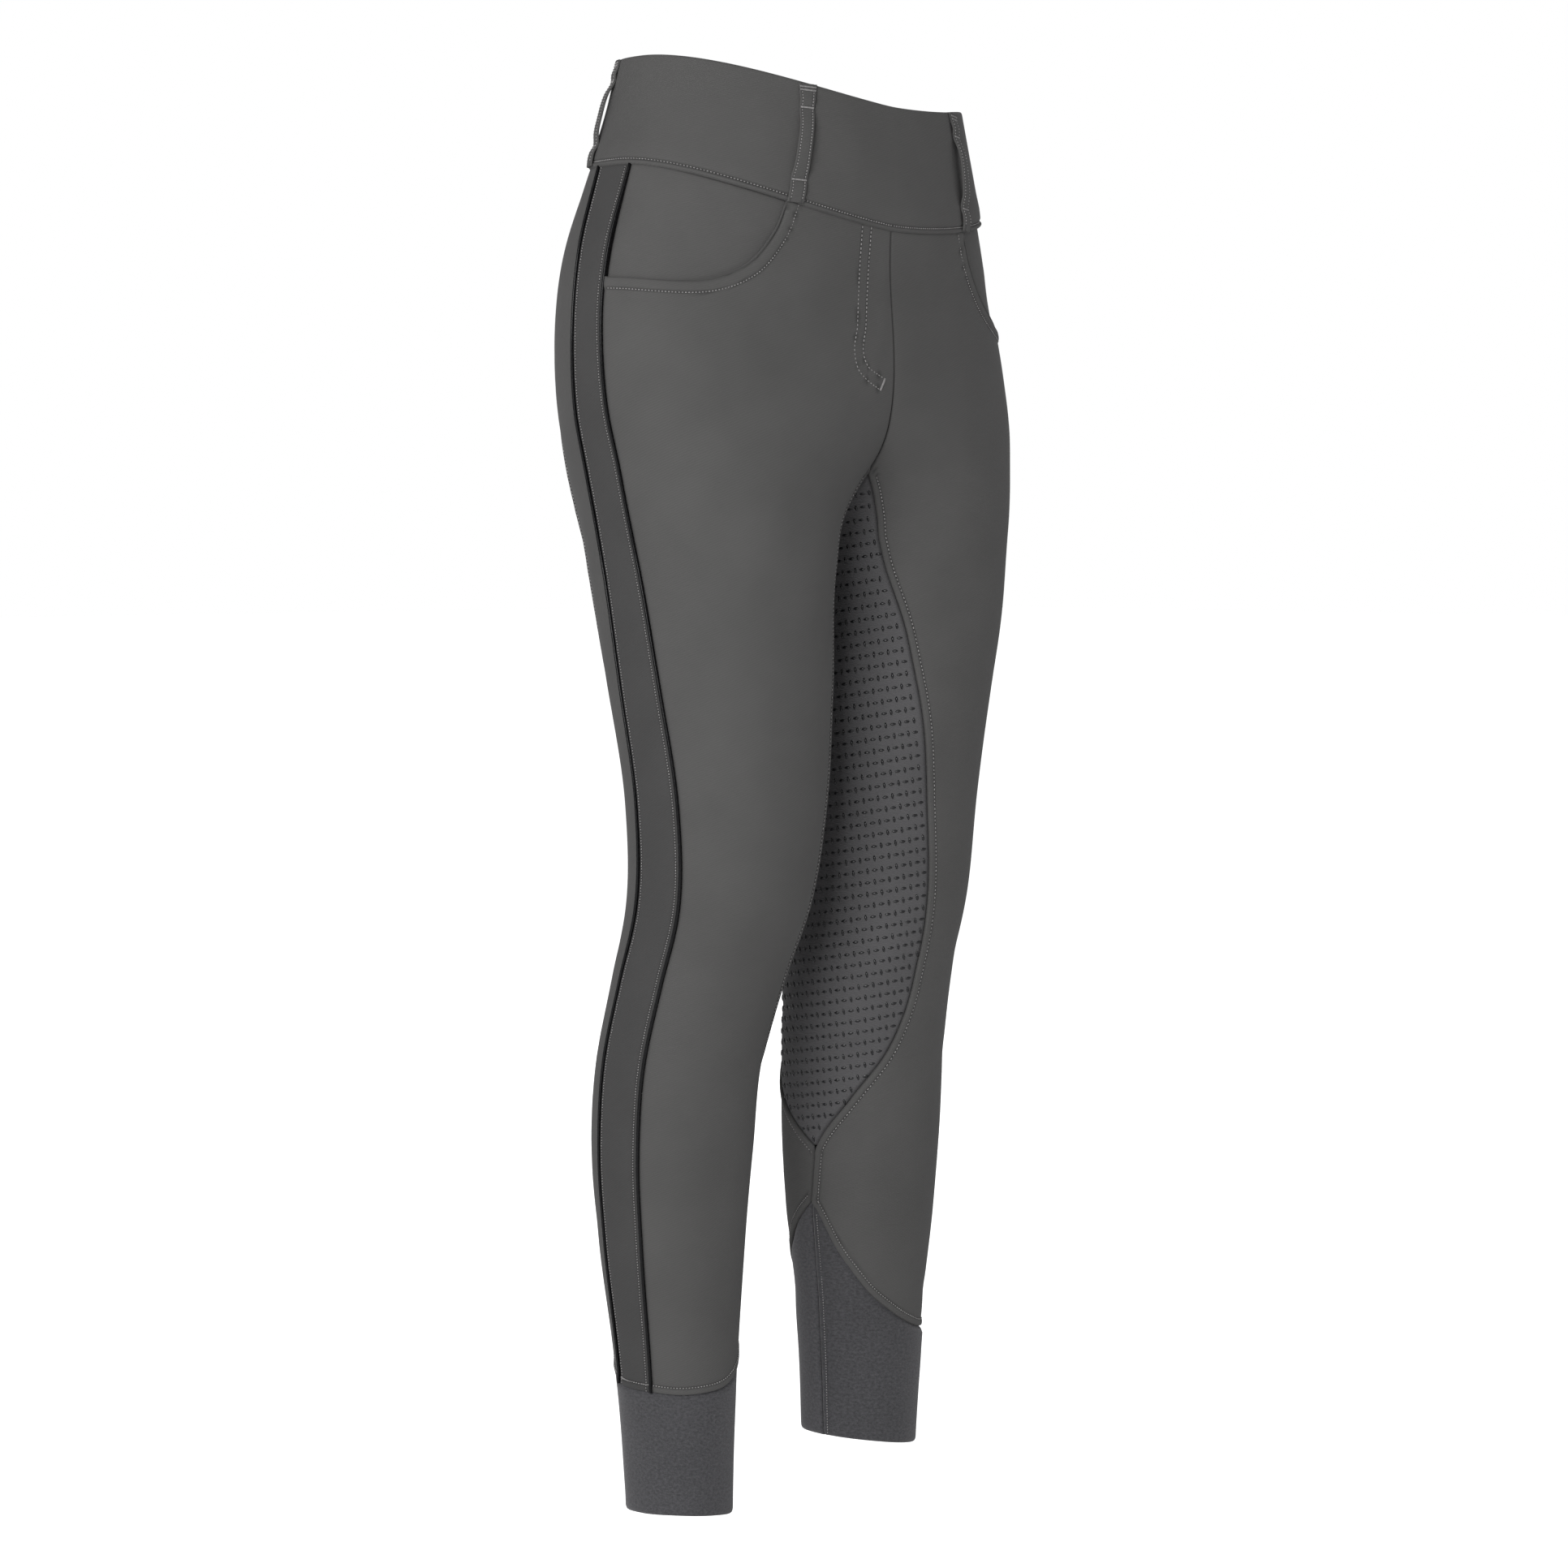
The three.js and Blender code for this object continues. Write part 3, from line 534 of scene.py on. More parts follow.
def front_seam(end: float, turns: float = 0.0) -> Curve:
    """The grip's front seam from the fork to the knee point."""
    return read_down(FRONT_SEAM, "angle", FORK_HEIGHT, end, 1.35, turns)


# ---------- lines on the body and what they do to the cloth ----------
class Line:
    """A line on one side of the body, sampled about every millimetre and a half."""

    def __init__(self, side: Side, curve: Curve, steps: int = 400) -> None:
        """Samples a curve of angle and height.

        Args:
            side: the wearer's side.
            curve: the curve, over a share from 0 to 1.
            steps: how many parts it is first cut into.
        """
        self.side = side
        self.spots = curve(np.linspace(0, 1, steps + 1))
        self.measure()

    def measure(self) -> None:
        """Works out the line's points and the length along it."""
        self.points = BODY.point(self.side, self.spots[:, 0], self.spots[:, 1])
        steps = np.linalg.norm(np.diff(self.points, axis=0), axis=1)
        self.along = np.concatenate([[0], np.cumsum(steps)])
        self.length = float(self.along[-1])

    def at(self, along: Array) -> Array:
        """Angles and heights at distances along the line."""
        return np.stack([np.interp(along, self.along, self.spots[:, k]) for k in (0, 1)], 1)

    def moved(self, distance: float, toward: tuple) -> "Line":
        """The same line, moved along the surface by a distance."""
        other = Line.__new__(Line)
        other.side = self.side
        other.spots = BODY.offset(self.side, self.spots, distance, toward)
        other.measure()
        return other

    def nearest(self, points: Array) -> tuple[Array, Array]:
        """Distance of points from the line, and how far along it each one's foot is.

        Args:
            points: points in millimetres, with a last axis of three.

        Returns:
            Distances and lengths along the line, in millimetres.
        """
        flat = points.reshape(-1, 3)
        distance = np.empty(len(flat))
        along = np.empty(len(flat))
        line, last = self.points, len(self.points) - 1
        for start in range(0, len(flat), 3000):
            p = flat[start:start + 3000]
            square = (p ** 2).sum(1)[:, None] - 2 * p @ line.T + (line ** 2).sum(1)[None]
            k = square.argmin(1)
            best = np.full(len(p), np.inf)
            foot_at = np.zeros(len(p))
            for back in (1, 0):
                a = np.clip(k - back, 0, last - 1)
                run = line[a + 1] - line[a]
                t = np.clip(((p - line[a]) * run).sum(1)
                            / np.maximum((run ** 2).sum(1), 1e-9), 0, 1)
                gap = np.linalg.norm(p - line[a] - t[:, None] * run, axis=1)
                closer = gap < best
                best = np.where(closer, gap, best)
                foot_at = np.where(closer, mix(self.along[a], self.along[a + 1], t), foot_at)
            distance[start:start + 3000] = best
            along[start:start + 3000] = foot_at
        return distance.reshape(points.shape[:-1]), along.reshape(points.shape[:-1])


@dataclass(frozen=True)
class Tuck:
    """An edge that goes under its neighbour or meets it in a valley."""

    line: Line
    depth: float = 0.9
    width: float = 1.3

    def act(self, points: Array) -> tuple[Array, Array]:
        """Height below the face and a shade: both fall off as a bell over the distance."""
        near = bell(self.line.nearest(points)[0], self.width)
        return -self.depth * near, 0.8 * near


@dataclass(frozen=True)
class Turned:
    """An edge turned under and stitched down: a raised, slightly rolled lip."""

    line: Line
    width: float = LIP_WIDTH
    lift: float = 0.85
    roll: float = 0.45
    edge: float = 1.3

    def act(self, points: Array) -> tuple[Array, Array]:
        """Lip height: level, crowned between edge and stitching, with a quarter-round edge."""
        d = self.line.nearest(points)[0]
        level = self.lift * (1 - ease(self.width - 1.0, self.width + 1.4, d))
        share = np.clip(d / self.width, 0, 1)
        crown = self.roll * 4 * share * (1 - share)
        drop = (self.lift + LIP_ROOT) * rounded(d / self.edge)
        return level + crown - drop, 0.25 * bell(d, 0.6)


@dataclass(frozen=True)
class Groove:
    """A row of stitching that pulls the cloth down, with small uneven puckers."""

    line: Line
    depth: float = 0.4
    width: float = 0.85
    pucker: float = 0.1

    def act(self, points: Array) -> tuple[Array, Array]:
        """Depth: a narrow bell over the distance, and a wider one times two slow waves."""
        d, along = self.line.nearest(points)
        wave = np.sin(along / 1.35) * 0.6 + np.sin(along / 2.3 + 1.1) * 0.4
        pull = -self.depth * bell(d, self.width)
        return pull + self.pucker * wave * bell(d, 3.2), 0.9 * bell(d, 0.75)


@dataclass(frozen=True)
class Crease:
    """A soft trough, or with a depth below nought a soft ridge, that dies away at its ends."""

    line: Line
    depth: float
    width: float

    def act(self, points: Array) -> tuple[Array, Array]:
        """Depth: a bell over the distance times a half wave over the length."""
        d, along = self.line.nearest(points)
        taper = np.sin(np.pi * np.clip(along / self.line.length, 0, 1)) ** 0.9
        height = -self.depth * bell(d, self.width) * taper
        return height, np.zeros_like(d)


Feature = Tuck | Turned | Groove | Crease


def combined(features: Sequence[Feature], points: Array) -> tuple[Array, Array]:
    """Height and shade of several features together.

    Args:
        features: what acts on the cloth.
        points: points of the body surface.

    Returns:
        The height over the surface, where lips take the higher, edges take the lower and the
        rest add up, and the shade, the darkest of all.
    """
    shape = points.shape[:-1]
    added, lowest, shade = np.zeros(shape), np.zeros(shape), np.zeros(shape)
    lips = None
    for feature in features:
        height, dark = feature.act(points)
        shade = np.maximum(shade, dark)
        if isinstance(feature, Turned):
            lips = height if lips is None else np.where(
                (lips < 0) | (height < 0), np.minimum(lips, height), np.maximum(lips, height))
        elif isinstance(feature, Tuck):
            lowest = np.minimum(lowest, height)
        else:
            added += height
    return added + lowest + (0 if lips is None else lips), shade


def drift(points: Array) -> Array:
    """Slow uneven swell of worn cloth: a sum of three long waves, a quarter millimetre high."""
    x, y, z = np.moveaxis(points, -1, 0)
    return 0.12 * (np.sin(x / 17 + z / 41 + 1.0) + np.sin(y / 21 - z / 33 + 2.2)
                   + np.sin((x + y) / 29 + z / 23 + 0.4))


# ---------- meshes ----------
def graded(length: Array, start: Sequence[float], end: Sequence[float], middle: int) -> Array:
    """Distances along lengths, close together near both ends and even between.

    Args:
        length: the lengths, one for each row.
        start: distances from the start, the first being the edge's own trim.
        end: the same from the end.
        middle: how many more come between.

    Returns:
        Rows of distances.
    """
    first, last = np.array(start, dtype=float), np.array(end, dtype=float)
    room = 0.44 * length[:, None]
    a = first[None] * np.minimum(1, room / max(first[-1], 1e-6))
    b = last[None] * np.minimum(1, room / max(last[-1], 1e-6))
    t = np.linspace(0, 1, middle + 2)[1:-1][None]
    between = a[:, -1:] * (1 - t) + (length[:, None] - b[:, -1:]) * t
    return np.concatenate([a, between, (length[:, None] - b)[:, ::-1]], axis=1)


def look_up(table: Array, share: Array) -> Array:
    """Values of a table's columns at shares of its height, one column of shares for each."""
    grid = np.linspace(0, 1, len(table))
    return np.stack([np.interp(share[:, k], grid, table[:, k]) for k in range(table.shape[1])], 1)


@dataclass
class Spread:
    """How the grid lines of a piece lie: distances near each edge and counts between."""

    left: Sequence[float] = (0.1,)
    right: Sequence[float] = (0.1,)
    top: Sequence[float] = (0.1,)
    bottom: Sequence[float] = (0.1,)
    across: int = 20
    down: int = 60


@dataclass
class Patch:
    """Angles and heights inside four edges."""

    side: Side
    top: Curve
    bottom: Curve
    left: Curve
    right: Curve

    def inside(self, u: Array, v: Array) -> Array:
        """Blend of the four edges: across plus down less the corners' own blend."""
        left, right, top, bottom = self.left(v), self.right(v), self.top(u), self.bottom(u)
        u, v = u[..., None], v[..., None]
        (a, b), (c, d) = self.top(ENDS), self.bottom(ENDS)
        return (mix(left, right, u) + mix(top, bottom, v)
                - mix(mix(a, b, u), mix(c, d, u), v))

    def grid(self, spread: Spread) -> Array:
        """Angles and heights of a grid whose lines keep their distances from the edges.

        Args:
            spread: the distances and counts.

        Returns:
            An array of rows and columns, with a last axis of two.
        """
        fine_u, fine_v = np.linspace(0, 1, 121), np.linspace(0, 1, 361)
        u, v = np.meshgrid(fine_u, fine_v)
        place = self.inside(u, v)
        points = BODY.point(self.side, place[..., 0], place[..., 1])
        run = np.linalg.norm(np.diff(points, axis=1), axis=-1).cumsum(axis=1)
        fall = np.linalg.norm(np.diff(points, axis=0), axis=-1).cumsum(axis=0)
        run = np.concatenate([np.zeros((len(fine_v), 1)), run], axis=1)
        fall = np.concatenate([np.zeros((1, len(fine_u))), fall], axis=0)
        columns = graded(run[:, -1], spread.left, spread.right, spread.across)
        rows = graded(fall[-1], spread.top, spread.bottom, spread.down)
        u_at = np.stack([np.interp(columns[j], run[j], fine_u) for j in range(len(fine_v))])
        v_at = np.stack([np.interp(rows[i], fall[:, i], fine_v) for i in range(len(fine_u))])
        shape = (rows.shape[1], columns.shape[1])
        u = np.broadcast_to(np.linspace(0, 1, shape[1])[None], shape).copy()
        v = np.broadcast_to(np.linspace(0, 1, shape[0])[:, None], shape).copy()
        for _ in range(5):
            u = look_up(u_at, v)
            v = look_up(v_at, u.T).T
        return self.inside(u, v)


@dataclass
class Shape:
    """A mesh before it is in Blender: points in millimetres, faces, and what materials read."""

    points: Array
    faces: list
    weave: Array
    shade: Array

    def turned_out(self) -> "Shape":
        """The same shape with its faces pointing outwards."""
        volume = 0.0
        for block in self.faces:
            p = self.points[block]
            for k in range(1, block.shape[1] - 1):
                volume += (p[:, 0] * np.cross(p[:, k], p[:, k + 1])).sum()
        if volume < 0:
            self.faces = [block[:, ::-1] for block in self.faces]
        return self

    def put(self, name: str, material: bpy.types.Material) -> bpy.types.Object:
        """Makes the Blender object, at the origin, with smooth faces.

        Args:
            name: the object's name.
            material: its material.

        Returns:
            The new object.
        """
        self.turned_out()
        mesh = bpy.data.meshes.new(name)
        faces = [row for block in self.faces for row in block.tolist()]
        mesh.from_pydata((self.points * MM).tolist(), [], faces)
        mesh.polygons.foreach_set("use_smooth", np.ones(len(mesh.polygons), dtype=bool))
        weave = mesh.attributes.new("weave", "FLOAT_VECTOR", "POINT")
        weave.data.foreach_set("vector", self.weave.astype(np.float32).ravel())
        shade = mesh.attributes.new("shade", "FLOAT", "POINT")
        shade.data.foreach_set("value", self.shade.astype(np.float32).ravel())
        mesh.materials.append(material)
        mesh.update()
        piece = bpy.data.objects.new(name, mesh)
        bpy.context.scene.collection.objects.link(piece)
        return piece


def wall(outer: Array, inner: Array, weave: Array, shade: Array) -> Shape:
    """A closed wall between two grids of points.

    Args:
        outer: rows and columns of outer points.
        inner: the inner points, in the same order.
        weave: coordinates along the cloth, rows and columns of three.
        shade: rows and columns of shades.

    Returns:
        The wall's shape.
    """
    down, across = outer.shape[0] - 1, outer.shape[1] - 1
    layer = (down + 1) * (across + 1)
    index = np.arange(layer).reshape(down + 1, across + 1)

    def quads(a: Array, b: Array, c: Array, d: Array) -> Array:
        """Rows of four corners."""
        return np.stack([a.ravel(), b.ravel(), c.ravel(), d.ravel()], 1)

    face = quads(index[:-1, :-1], index[:-1, 1:], index[1:, 1:], index[1:, :-1])
    rim = np.concatenate([index[0, :], index[1:, -1], index[-1, -2::-1], index[-2::-1, 0]])
    edge = quads(rim[:-1], rim[:-1] + layer, rim[1:] + layer, rim[1:])
    points = np.concatenate([outer.reshape(-1, 3), inner.reshape(-1, 3)])
    both = np.concatenate([weave.reshape(-1, 3)] * 2)
    shades = np.concatenate([shade.ravel(), np.zeros(layer)])
    return Shape(points, [face, face[:, ::-1] + layer, edge], both, shades)


def repeated(template: Array, faces: list, centres: Array, frames: Array) -> Shape:
    """One small shape at many places.

    Args:
        template: its points, along, aside and up.
        faces: its faces, in blocks of one number of corners.
        centres: the places.
        frames: for each place the directions along, aside and up, as rows.

    Returns:
        All the copies as one shape.
    """
    points = centres[:, None] + np.einsum("vk,nkc->nvc", template, frames)
    count = len(template)
    blocks = [(block[None] + count * np.arange(len(centres))[:, None, None]).reshape(
        -1, block.shape[1]) for block in faces]
    flat = points.reshape(-1, 3)
    share = np.repeat(np.arange(len(centres)) % 7 / 7.0, count)
    return Shape(flat, blocks, flat.copy(), share)


# ---------- finishes ----------
Given = bpy.types.NodeSocket | float | Sequence[float]


class Graph:
    """A node tree with short ways to add and link nodes."""

    def __init__(self, tree: bpy.types.NodeTree) -> None:
        """Keeps the tree."""
        self.tree = tree

    def node(self, kind: str, inputs: Optional[dict] = None, **settings) -> bpy.types.Node:
        """Adds a node, sets it up and links or fills its inputs.

        Args:
            kind: the node's type.
            inputs: for each input's name or number, a socket to link or a value.
            **settings: the node's own properties.

        Returns:
            The node.
        """
        made = self.tree.nodes.new(kind)
        for key, value in settings.items():
            setattr(made, key, value)
        for key, value in (inputs or {}).items():
            if isinstance(value, bpy.types.NodeSocket):
                self.tree.links.new(value, made.inputs[key])
            else:
                made.inputs[key].default_value = value
        return made

    def sum(self, operation: str, a: Given, b: Given = 0.0,
            c: Given = 0.0) -> bpy.types.NodeSocket:
        """Result of one Math node."""
        return self.node("ShaderNodeMath", {0: a, 1: b, 2: c}, operation=operation).outputs[0]

    def blend(self, factor: Given, a: Given, b: Given) -> bpy.types.NodeSocket:
        """Colour between two others."""
        return self.node("ShaderNodeMix", {0: factor, 6: a, 7: b}, data_type="RGBA").outputs[2]

    def span(self, value: Given, low: float, high: float, to_low: float,
             to_high: float) -> bpy.types.NodeSocket:
        """Value carried from one range to another and held at its ends."""
        return self.node("ShaderNodeMapRange", {0: value, 1: low, 2: high, 3: to_low, 4: to_high},
                         clamp=True).outputs[0]


def new_group(name: str, inputs: dict, outputs: Sequence[str]) -> tuple:
    """An empty shader node group with number sockets.

    Args:
        name: its name.
        inputs: its inputs and their values.
        outputs: its outputs.

    Returns:
        The group, a graph of it, its input node and its output node.
    """
    group = bpy.data.node_groups.new(name, "ShaderNodeTree")
    for key, value in inputs.items():
        socket = group.interface.new_socket(key, in_out="INPUT", socket_type="NodeSocketFloat")
        socket.default_value = value
    for key in outputs:
        group.interface.new_socket(key, in_out="OUTPUT", socket_type="NodeSocketFloat")
    graph = Graph(group)
    return group, graph, graph.node("NodeGroupInput"), graph.node("NodeGroupOutput")


def ribs_group() -> bpy.types.NodeTree:
    """Fine ribs of a weave: sine waves over the cloth's own coordinates, broken by noise."""
    group, g, given, out = new_group("woven ribs", {"Pitch": 1.2, "Lean": 0.3, "Break": 0.6},
                                     ["Height"])
    cloth = g.node("ShaderNodeAttribute", attribute_name="weave").outputs["Vector"]
    parts = g.node("ShaderNodeSeparateXYZ", {0: cloth})
    lean = g.sum("MULTIPLY", parts.outputs[0], given.outputs["Lean"])
    place = g.sum("DIVIDE", g.sum("ADD", parts.outputs[1], lean), given.outputs["Pitch"])
    noise = g.node("ShaderNodeTexNoise", {"Vector": cloth, "Scale": 0.55, "Detail": 2.0})
    shift = g.sum("MULTIPLY", noise.outputs[0], given.outputs["Break"])
    wave = g.sum("SINE", g.sum("MULTIPLY", g.sum("ADD", place, shift), 2 * math.pi))
    g.tree.links.new(g.sum("MULTIPLY_ADD", wave, 0.5, 0.5), out.inputs["Height"])
    return group


def mottle_group() -> bpy.types.NodeTree:
    """Uneven dye and wear: coarse and fine noise over the object's coordinates."""
    group, g, given, out = new_group("dye and wear", {"Coarse": 22.0, "Fine": 420.0},
                                     ["Coarse", "Fine"])
    place = g.node("ShaderNodeTexCoord").outputs["Object"]
    for key, detail in (("Coarse", 2.0), ("Fine", 3.0)):
        noise = g.node("ShaderNodeTexNoise",
                       {"Vector": place, "Scale": given.outputs[key], "Detail": detail})
        g.tree.links.new(g.span(noise.outputs[0], 0.3, 0.7, 0.0, 1.0), out.inputs[key])
    return group


def heather_group() -> bpy.types.NodeTree:
    """Flecks of a melange yarn: two fine noises, one drawn out along the courses."""
    group, g, given, out = new_group("heather flecks", {"Grain": 0.55}, ["Fleck"])
    cloth = g.node("ShaderNodeAttribute", attribute_name="weave").outputs["Vector"]
    drawn = g.node("ShaderNodeVectorMath", {0: cloth, 1: (0.75, 1.0, 1.0)}, operation="MULTIPLY")
    streak = g.node("ShaderNodeTexNoise", {"Vector": drawn.outputs[0],
                                           "Scale": given.outputs["Grain"], "Detail": 2.0})
    dots = g.node("ShaderNodeTexNoise", {"Vector": cloth, "Scale": 1.0, "Detail": 2.0})
    both = g.sum("MULTIPLY_ADD", streak.outputs[0], 0.6, g.sum("MULTIPLY", dots.outputs[0], 0.4))
    g.tree.links.new(g.span(both, 0.36, 0.64, 0.0, 1.0), out.inputs["Fleck"])
    return group


Colour = tuple[float, float, float]
RIB_PAINTED_SHADING = (0.955, 1.035)       # painted shade in the twill's hollows and painted light on its ribs
SEAM_TONE = 0.42                # tone where a seam's shade is full


@dataclass
class Start:
    """A new material, with the dye and the shade that every finish of the garment reads."""

    name: str
    colour: Colour
    spread: float

    def __post_init__(self) -> None:
        """Makes the material and its first nodes, and the colour's dark and light ends."""
        self.made = bpy.data.materials.new(self.name)
        self.made.use_nodes = True
        self.graph = Graph(self.made.node_tree)
        self.shader = self.made.node_tree.nodes["Principled BSDF"]
        self.dye = self.group("dye and wear").outputs
        self.shade = self.graph.node("ShaderNodeAttribute",
                                     attribute_name="shade").outputs["Fac"]
        self.light = [min(1.0, c * (1 + self.spread)) for c in self.colour] + [1.0]
        self.dark = [c * (1 - self.spread) for c in self.colour] + [1.0]

    def group(self, name: str, inputs: Optional[dict] = None) -> bpy.types.Node:
        """A node of one of the shared groups."""
        return self.graph.node("ShaderNodeGroup", inputs, node_tree=bpy.data.node_groups[name])

    def link(self, socket: bpy.types.NodeSocket, name: str) -> None:
        """Links a socket to an input of the shader."""
        self.made.node_tree.links.new(socket, self.shader.inputs[name])

    def bump(self, height: bpy.types.NodeSocket, strength: float, distance: float) -> None:
        """Links a height to the shader's normal."""
        made = self.graph.node("ShaderNodeBump", {"Height": height, "Strength": strength,
                                                  "Distance": distance})
        self.link(made.outputs[0], "Normal")

    def finish(self, **values) -> bpy.types.Material:
        """Sets inputs of the shader, named with _ for each space, and returns the material."""
        for name, value in values.items():
            self.shader.inputs[name.replace("_", " ")].default_value = value
        return self.made


@dataclass(frozen=True)
class Cloth:
    """A woven or knitted finish: its colour, its ribs and how it takes the light."""

    name: str
    colour: Colour
    rough: float = 0.82
    sheen: float = 0.08
    pitch: float = 1.5
    lean: float = 0.38
    broken: float = 0.5
    relief: float = 0.10
    fleck: float = 0.0
    mottle: float = 0.06

    def material(self) -> bpy.types.Material:
        """Builds the material: colour with dye, painted seam shade, and either flecks or painted
        shade and light on the twill's ribs; and a bump of ribs.
        """
        start = Start(self.name, self.colour, self.mottle)
        g, dye = start.graph, start.dye
        ribs = start.group("woven ribs", {"Pitch": self.pitch, "Lean": self.lean,
                                          "Break": self.broken}).outputs["Height"]
        base = g.blend(dye["Coarse"], start.dark, start.light)
        if self.fleck:
            flecks = start.group("heather flecks").outputs["Fleck"]
            tone = g.span(flecks, 0, 1, 1 - self.fleck, 1 + self.fleck)
        else:
            # painted shade in the hollows of the ribs and painted light on their crests
            tone = g.span(ribs, 0, 1, *RIB_PAINTED_SHADING)
        tone = g.sum("MULTIPLY", tone, g.span(start.shade, 0, 1, 1.0, SEAM_TONE))
        base = g.node("ShaderNodeVectorMath", {0: base, "Scale": tone}, operation="SCALE")
        start.link(base.outputs[0], "Base Color")
        start.bump(g.sum("MULTIPLY_ADD", dye["Fine"], 0.5, ribs), self.relief, 0.0004)
        start.link(g.span(dye["Coarse"], 0, 1, self.rough - 0.04, self.rough + 0.04),
                   "Roughness")
        return start.finish(Specular_IOR_Level=0.3, Sheen_Weight=self.sheen,
                            Sheen_Roughness=0.45, Sheen_Tint=(0.85, 0.84, 0.86, 1.0))


@dataclass(frozen=True)
class Trim:
    """A finish of piping, thread or print: its colour and gloss, a little uneven."""

    name: str
    colour: Colour
    rough: float
    gloss: float = 0.5
    coat: float = 0.0
    uneven: float = 0.12
    matt: float = 0.0

    def material(self) -> bpy.types.Material:
        """Builds the material: colour from fine noise and each copy's own shade."""
        start = Start(self.name, self.colour, self.uneven)
        g, fine, own = start.graph, start.dye["Fine"], start.shade
        factor = g.sum("MULTIPLY_ADD", fine, 0.5, g.sum("MULTIPLY", own, 0.5))
        start.link(g.blend(factor, start.dark, start.light), "Base Color")
        rough = g.span(fine, 0, 1, self.rough - 0.05, self.rough + 0.05)
        start.link(g.sum("ADD", rough, g.span(own, 0, 1, self.matt, 0.0)), "Roughness")
        start.bump(fine, 0.15, 0.0002)
        return start.finish(Specular_IOR_Level=self.gloss, Coat_Weight=self.coat,
                            Coat_Roughness=0.3)


class Finishes:
    """The materials of the garment, one for each finish."""

    def __init__(self) -> None:
        """Builds the shared groups and all the materials."""
        ribs_group()
        mottle_group()
        heather_group()
        self.shell = Cloth("charcoal softshell", (0.1045, 0.103, 0.1015)).material()
        self.stripe = Cloth("stripe softshell", (0.071, 0.070, 0.070), lean=0.5).material()
        self.facing = Cloth("pocket softshell", (0.107, 0.1055, 0.104)).material()
        self.grip = Cloth("ribbed grip cloth", (0.112, 0.110, 0.114), rough=0.75, pitch=0.9,
                          lean=0.0, broken=0.15, relief=0.35, sheen=0.05).material()
        self.cuff = Cloth("heather jersey", (0.0955, 0.0945, 0.1015), rough=0.95, sheen=0.35,
                          pitch=1.0, lean=0.0, relief=0.2, fleck=0.27).material()
        self.piping = Trim("black piping", (0.005, 0.005, 0.006), 0.27, gloss=0.28).material()
        self.thread = Trim("grey thread", (0.36, 0.35, 0.35), 0.6, uneven=0.3).material()
        self.print = Trim("silicone print", (0.010, 0.010, 0.012), 0.14, gloss=0.7,
                          matt=0.22).material()


# ---------- stitching and print ----------
def capsule(length: float, width: float, height: float) -> tuple[Array, list]:
    """A stitch: rings of five points along it, narrow and low at both ends.

    Args:
        length: its length.
        width: its width.
        height: how high its middle stands.

    Returns:
        Points along, aside and up, and the faces in blocks.
    """
    along = np.array([-0.5, -0.26, 0.26, 0.5]) * length
    size = np.array([0.3, 1.0, 1.0, 0.3])
    lift = np.array([-0.45, 0.3, 0.3, -0.45]) * height
    turn = np.radians(np.arange(5) * 72 + 90)
    points = np.stack([np.repeat(along, 5), np.outer(size, np.cos(turn)).ravel() * width / 2,
                       (np.outer(size, np.sin(turn)) * height / 2 + lift[:, None]).ravel()], 1)
    ring = np.arange(5)
    quads = np.concatenate([np.stack([k * 5 + ring, k * 5 + (ring + 1) % 5,
                                      k * 5 + 5 + (ring + 1) % 5, k * 5 + 5 + ring], 1)
                            for k in range(3)])
    caps = np.array([[4, 3, 2, 1, 0], [15, 16, 17, 18, 19]])
    return points, [quads, caps]


def dome(length: float, width: float, height: float, point: float) -> tuple[Array, list]:
    """A printed dash: an oval foot sunk in the cloth, one ring near its top, and a top.

    Args:
        length: its length.
        width: its width.
        height: its height.
        point: how far its ends are drawn to a point, from 0 to 1.

    Returns:
        Points along, aside and up, and the faces in blocks.
    """
    count = 8
    turn = np.radians(np.arange(count) * 360 / count)
    x = np.cos(turn)
    y = np.sin(turn) * (1 - point * np.abs(x) ** 2)
    rings = [(1.0, -0.35), (0.8, 0.66)]
    points = np.concatenate([np.stack([x * s * length / 2, y * s * width / 2,
                                       np.full(count, up * height)], 1) for s, up in rings]
                            + [np.array([[0, 0, height]])])
    ring = np.arange(count)
    after = (ring + 1) % count
    quads = np.stack([ring, after, count + after, count + ring], 1)
    top = np.stack([count + ring, count + after, np.full(count, 2 * count)], 1)
    return points, [quads, top, ring[::-1][None]]


@dataclass
class Row:
    """A row of stitches on a line, or of bars across it for a bartack."""

    line: Line
    start: float = 0.0
    end: float = 1.0
    pitch: float = STITCH_PITCH
    across: float = 0.0
    keep_from: Sequence[tuple] = ()

    def places(self) -> Array:
        """Distances along the line at which stitches lie."""
        low, high = self.start * self.line.length, self.end * self.line.length
        count = max(1, int((high - low) / self.pitch))
        return low + (np.arange(count) + 0.5) * (high - low) / count


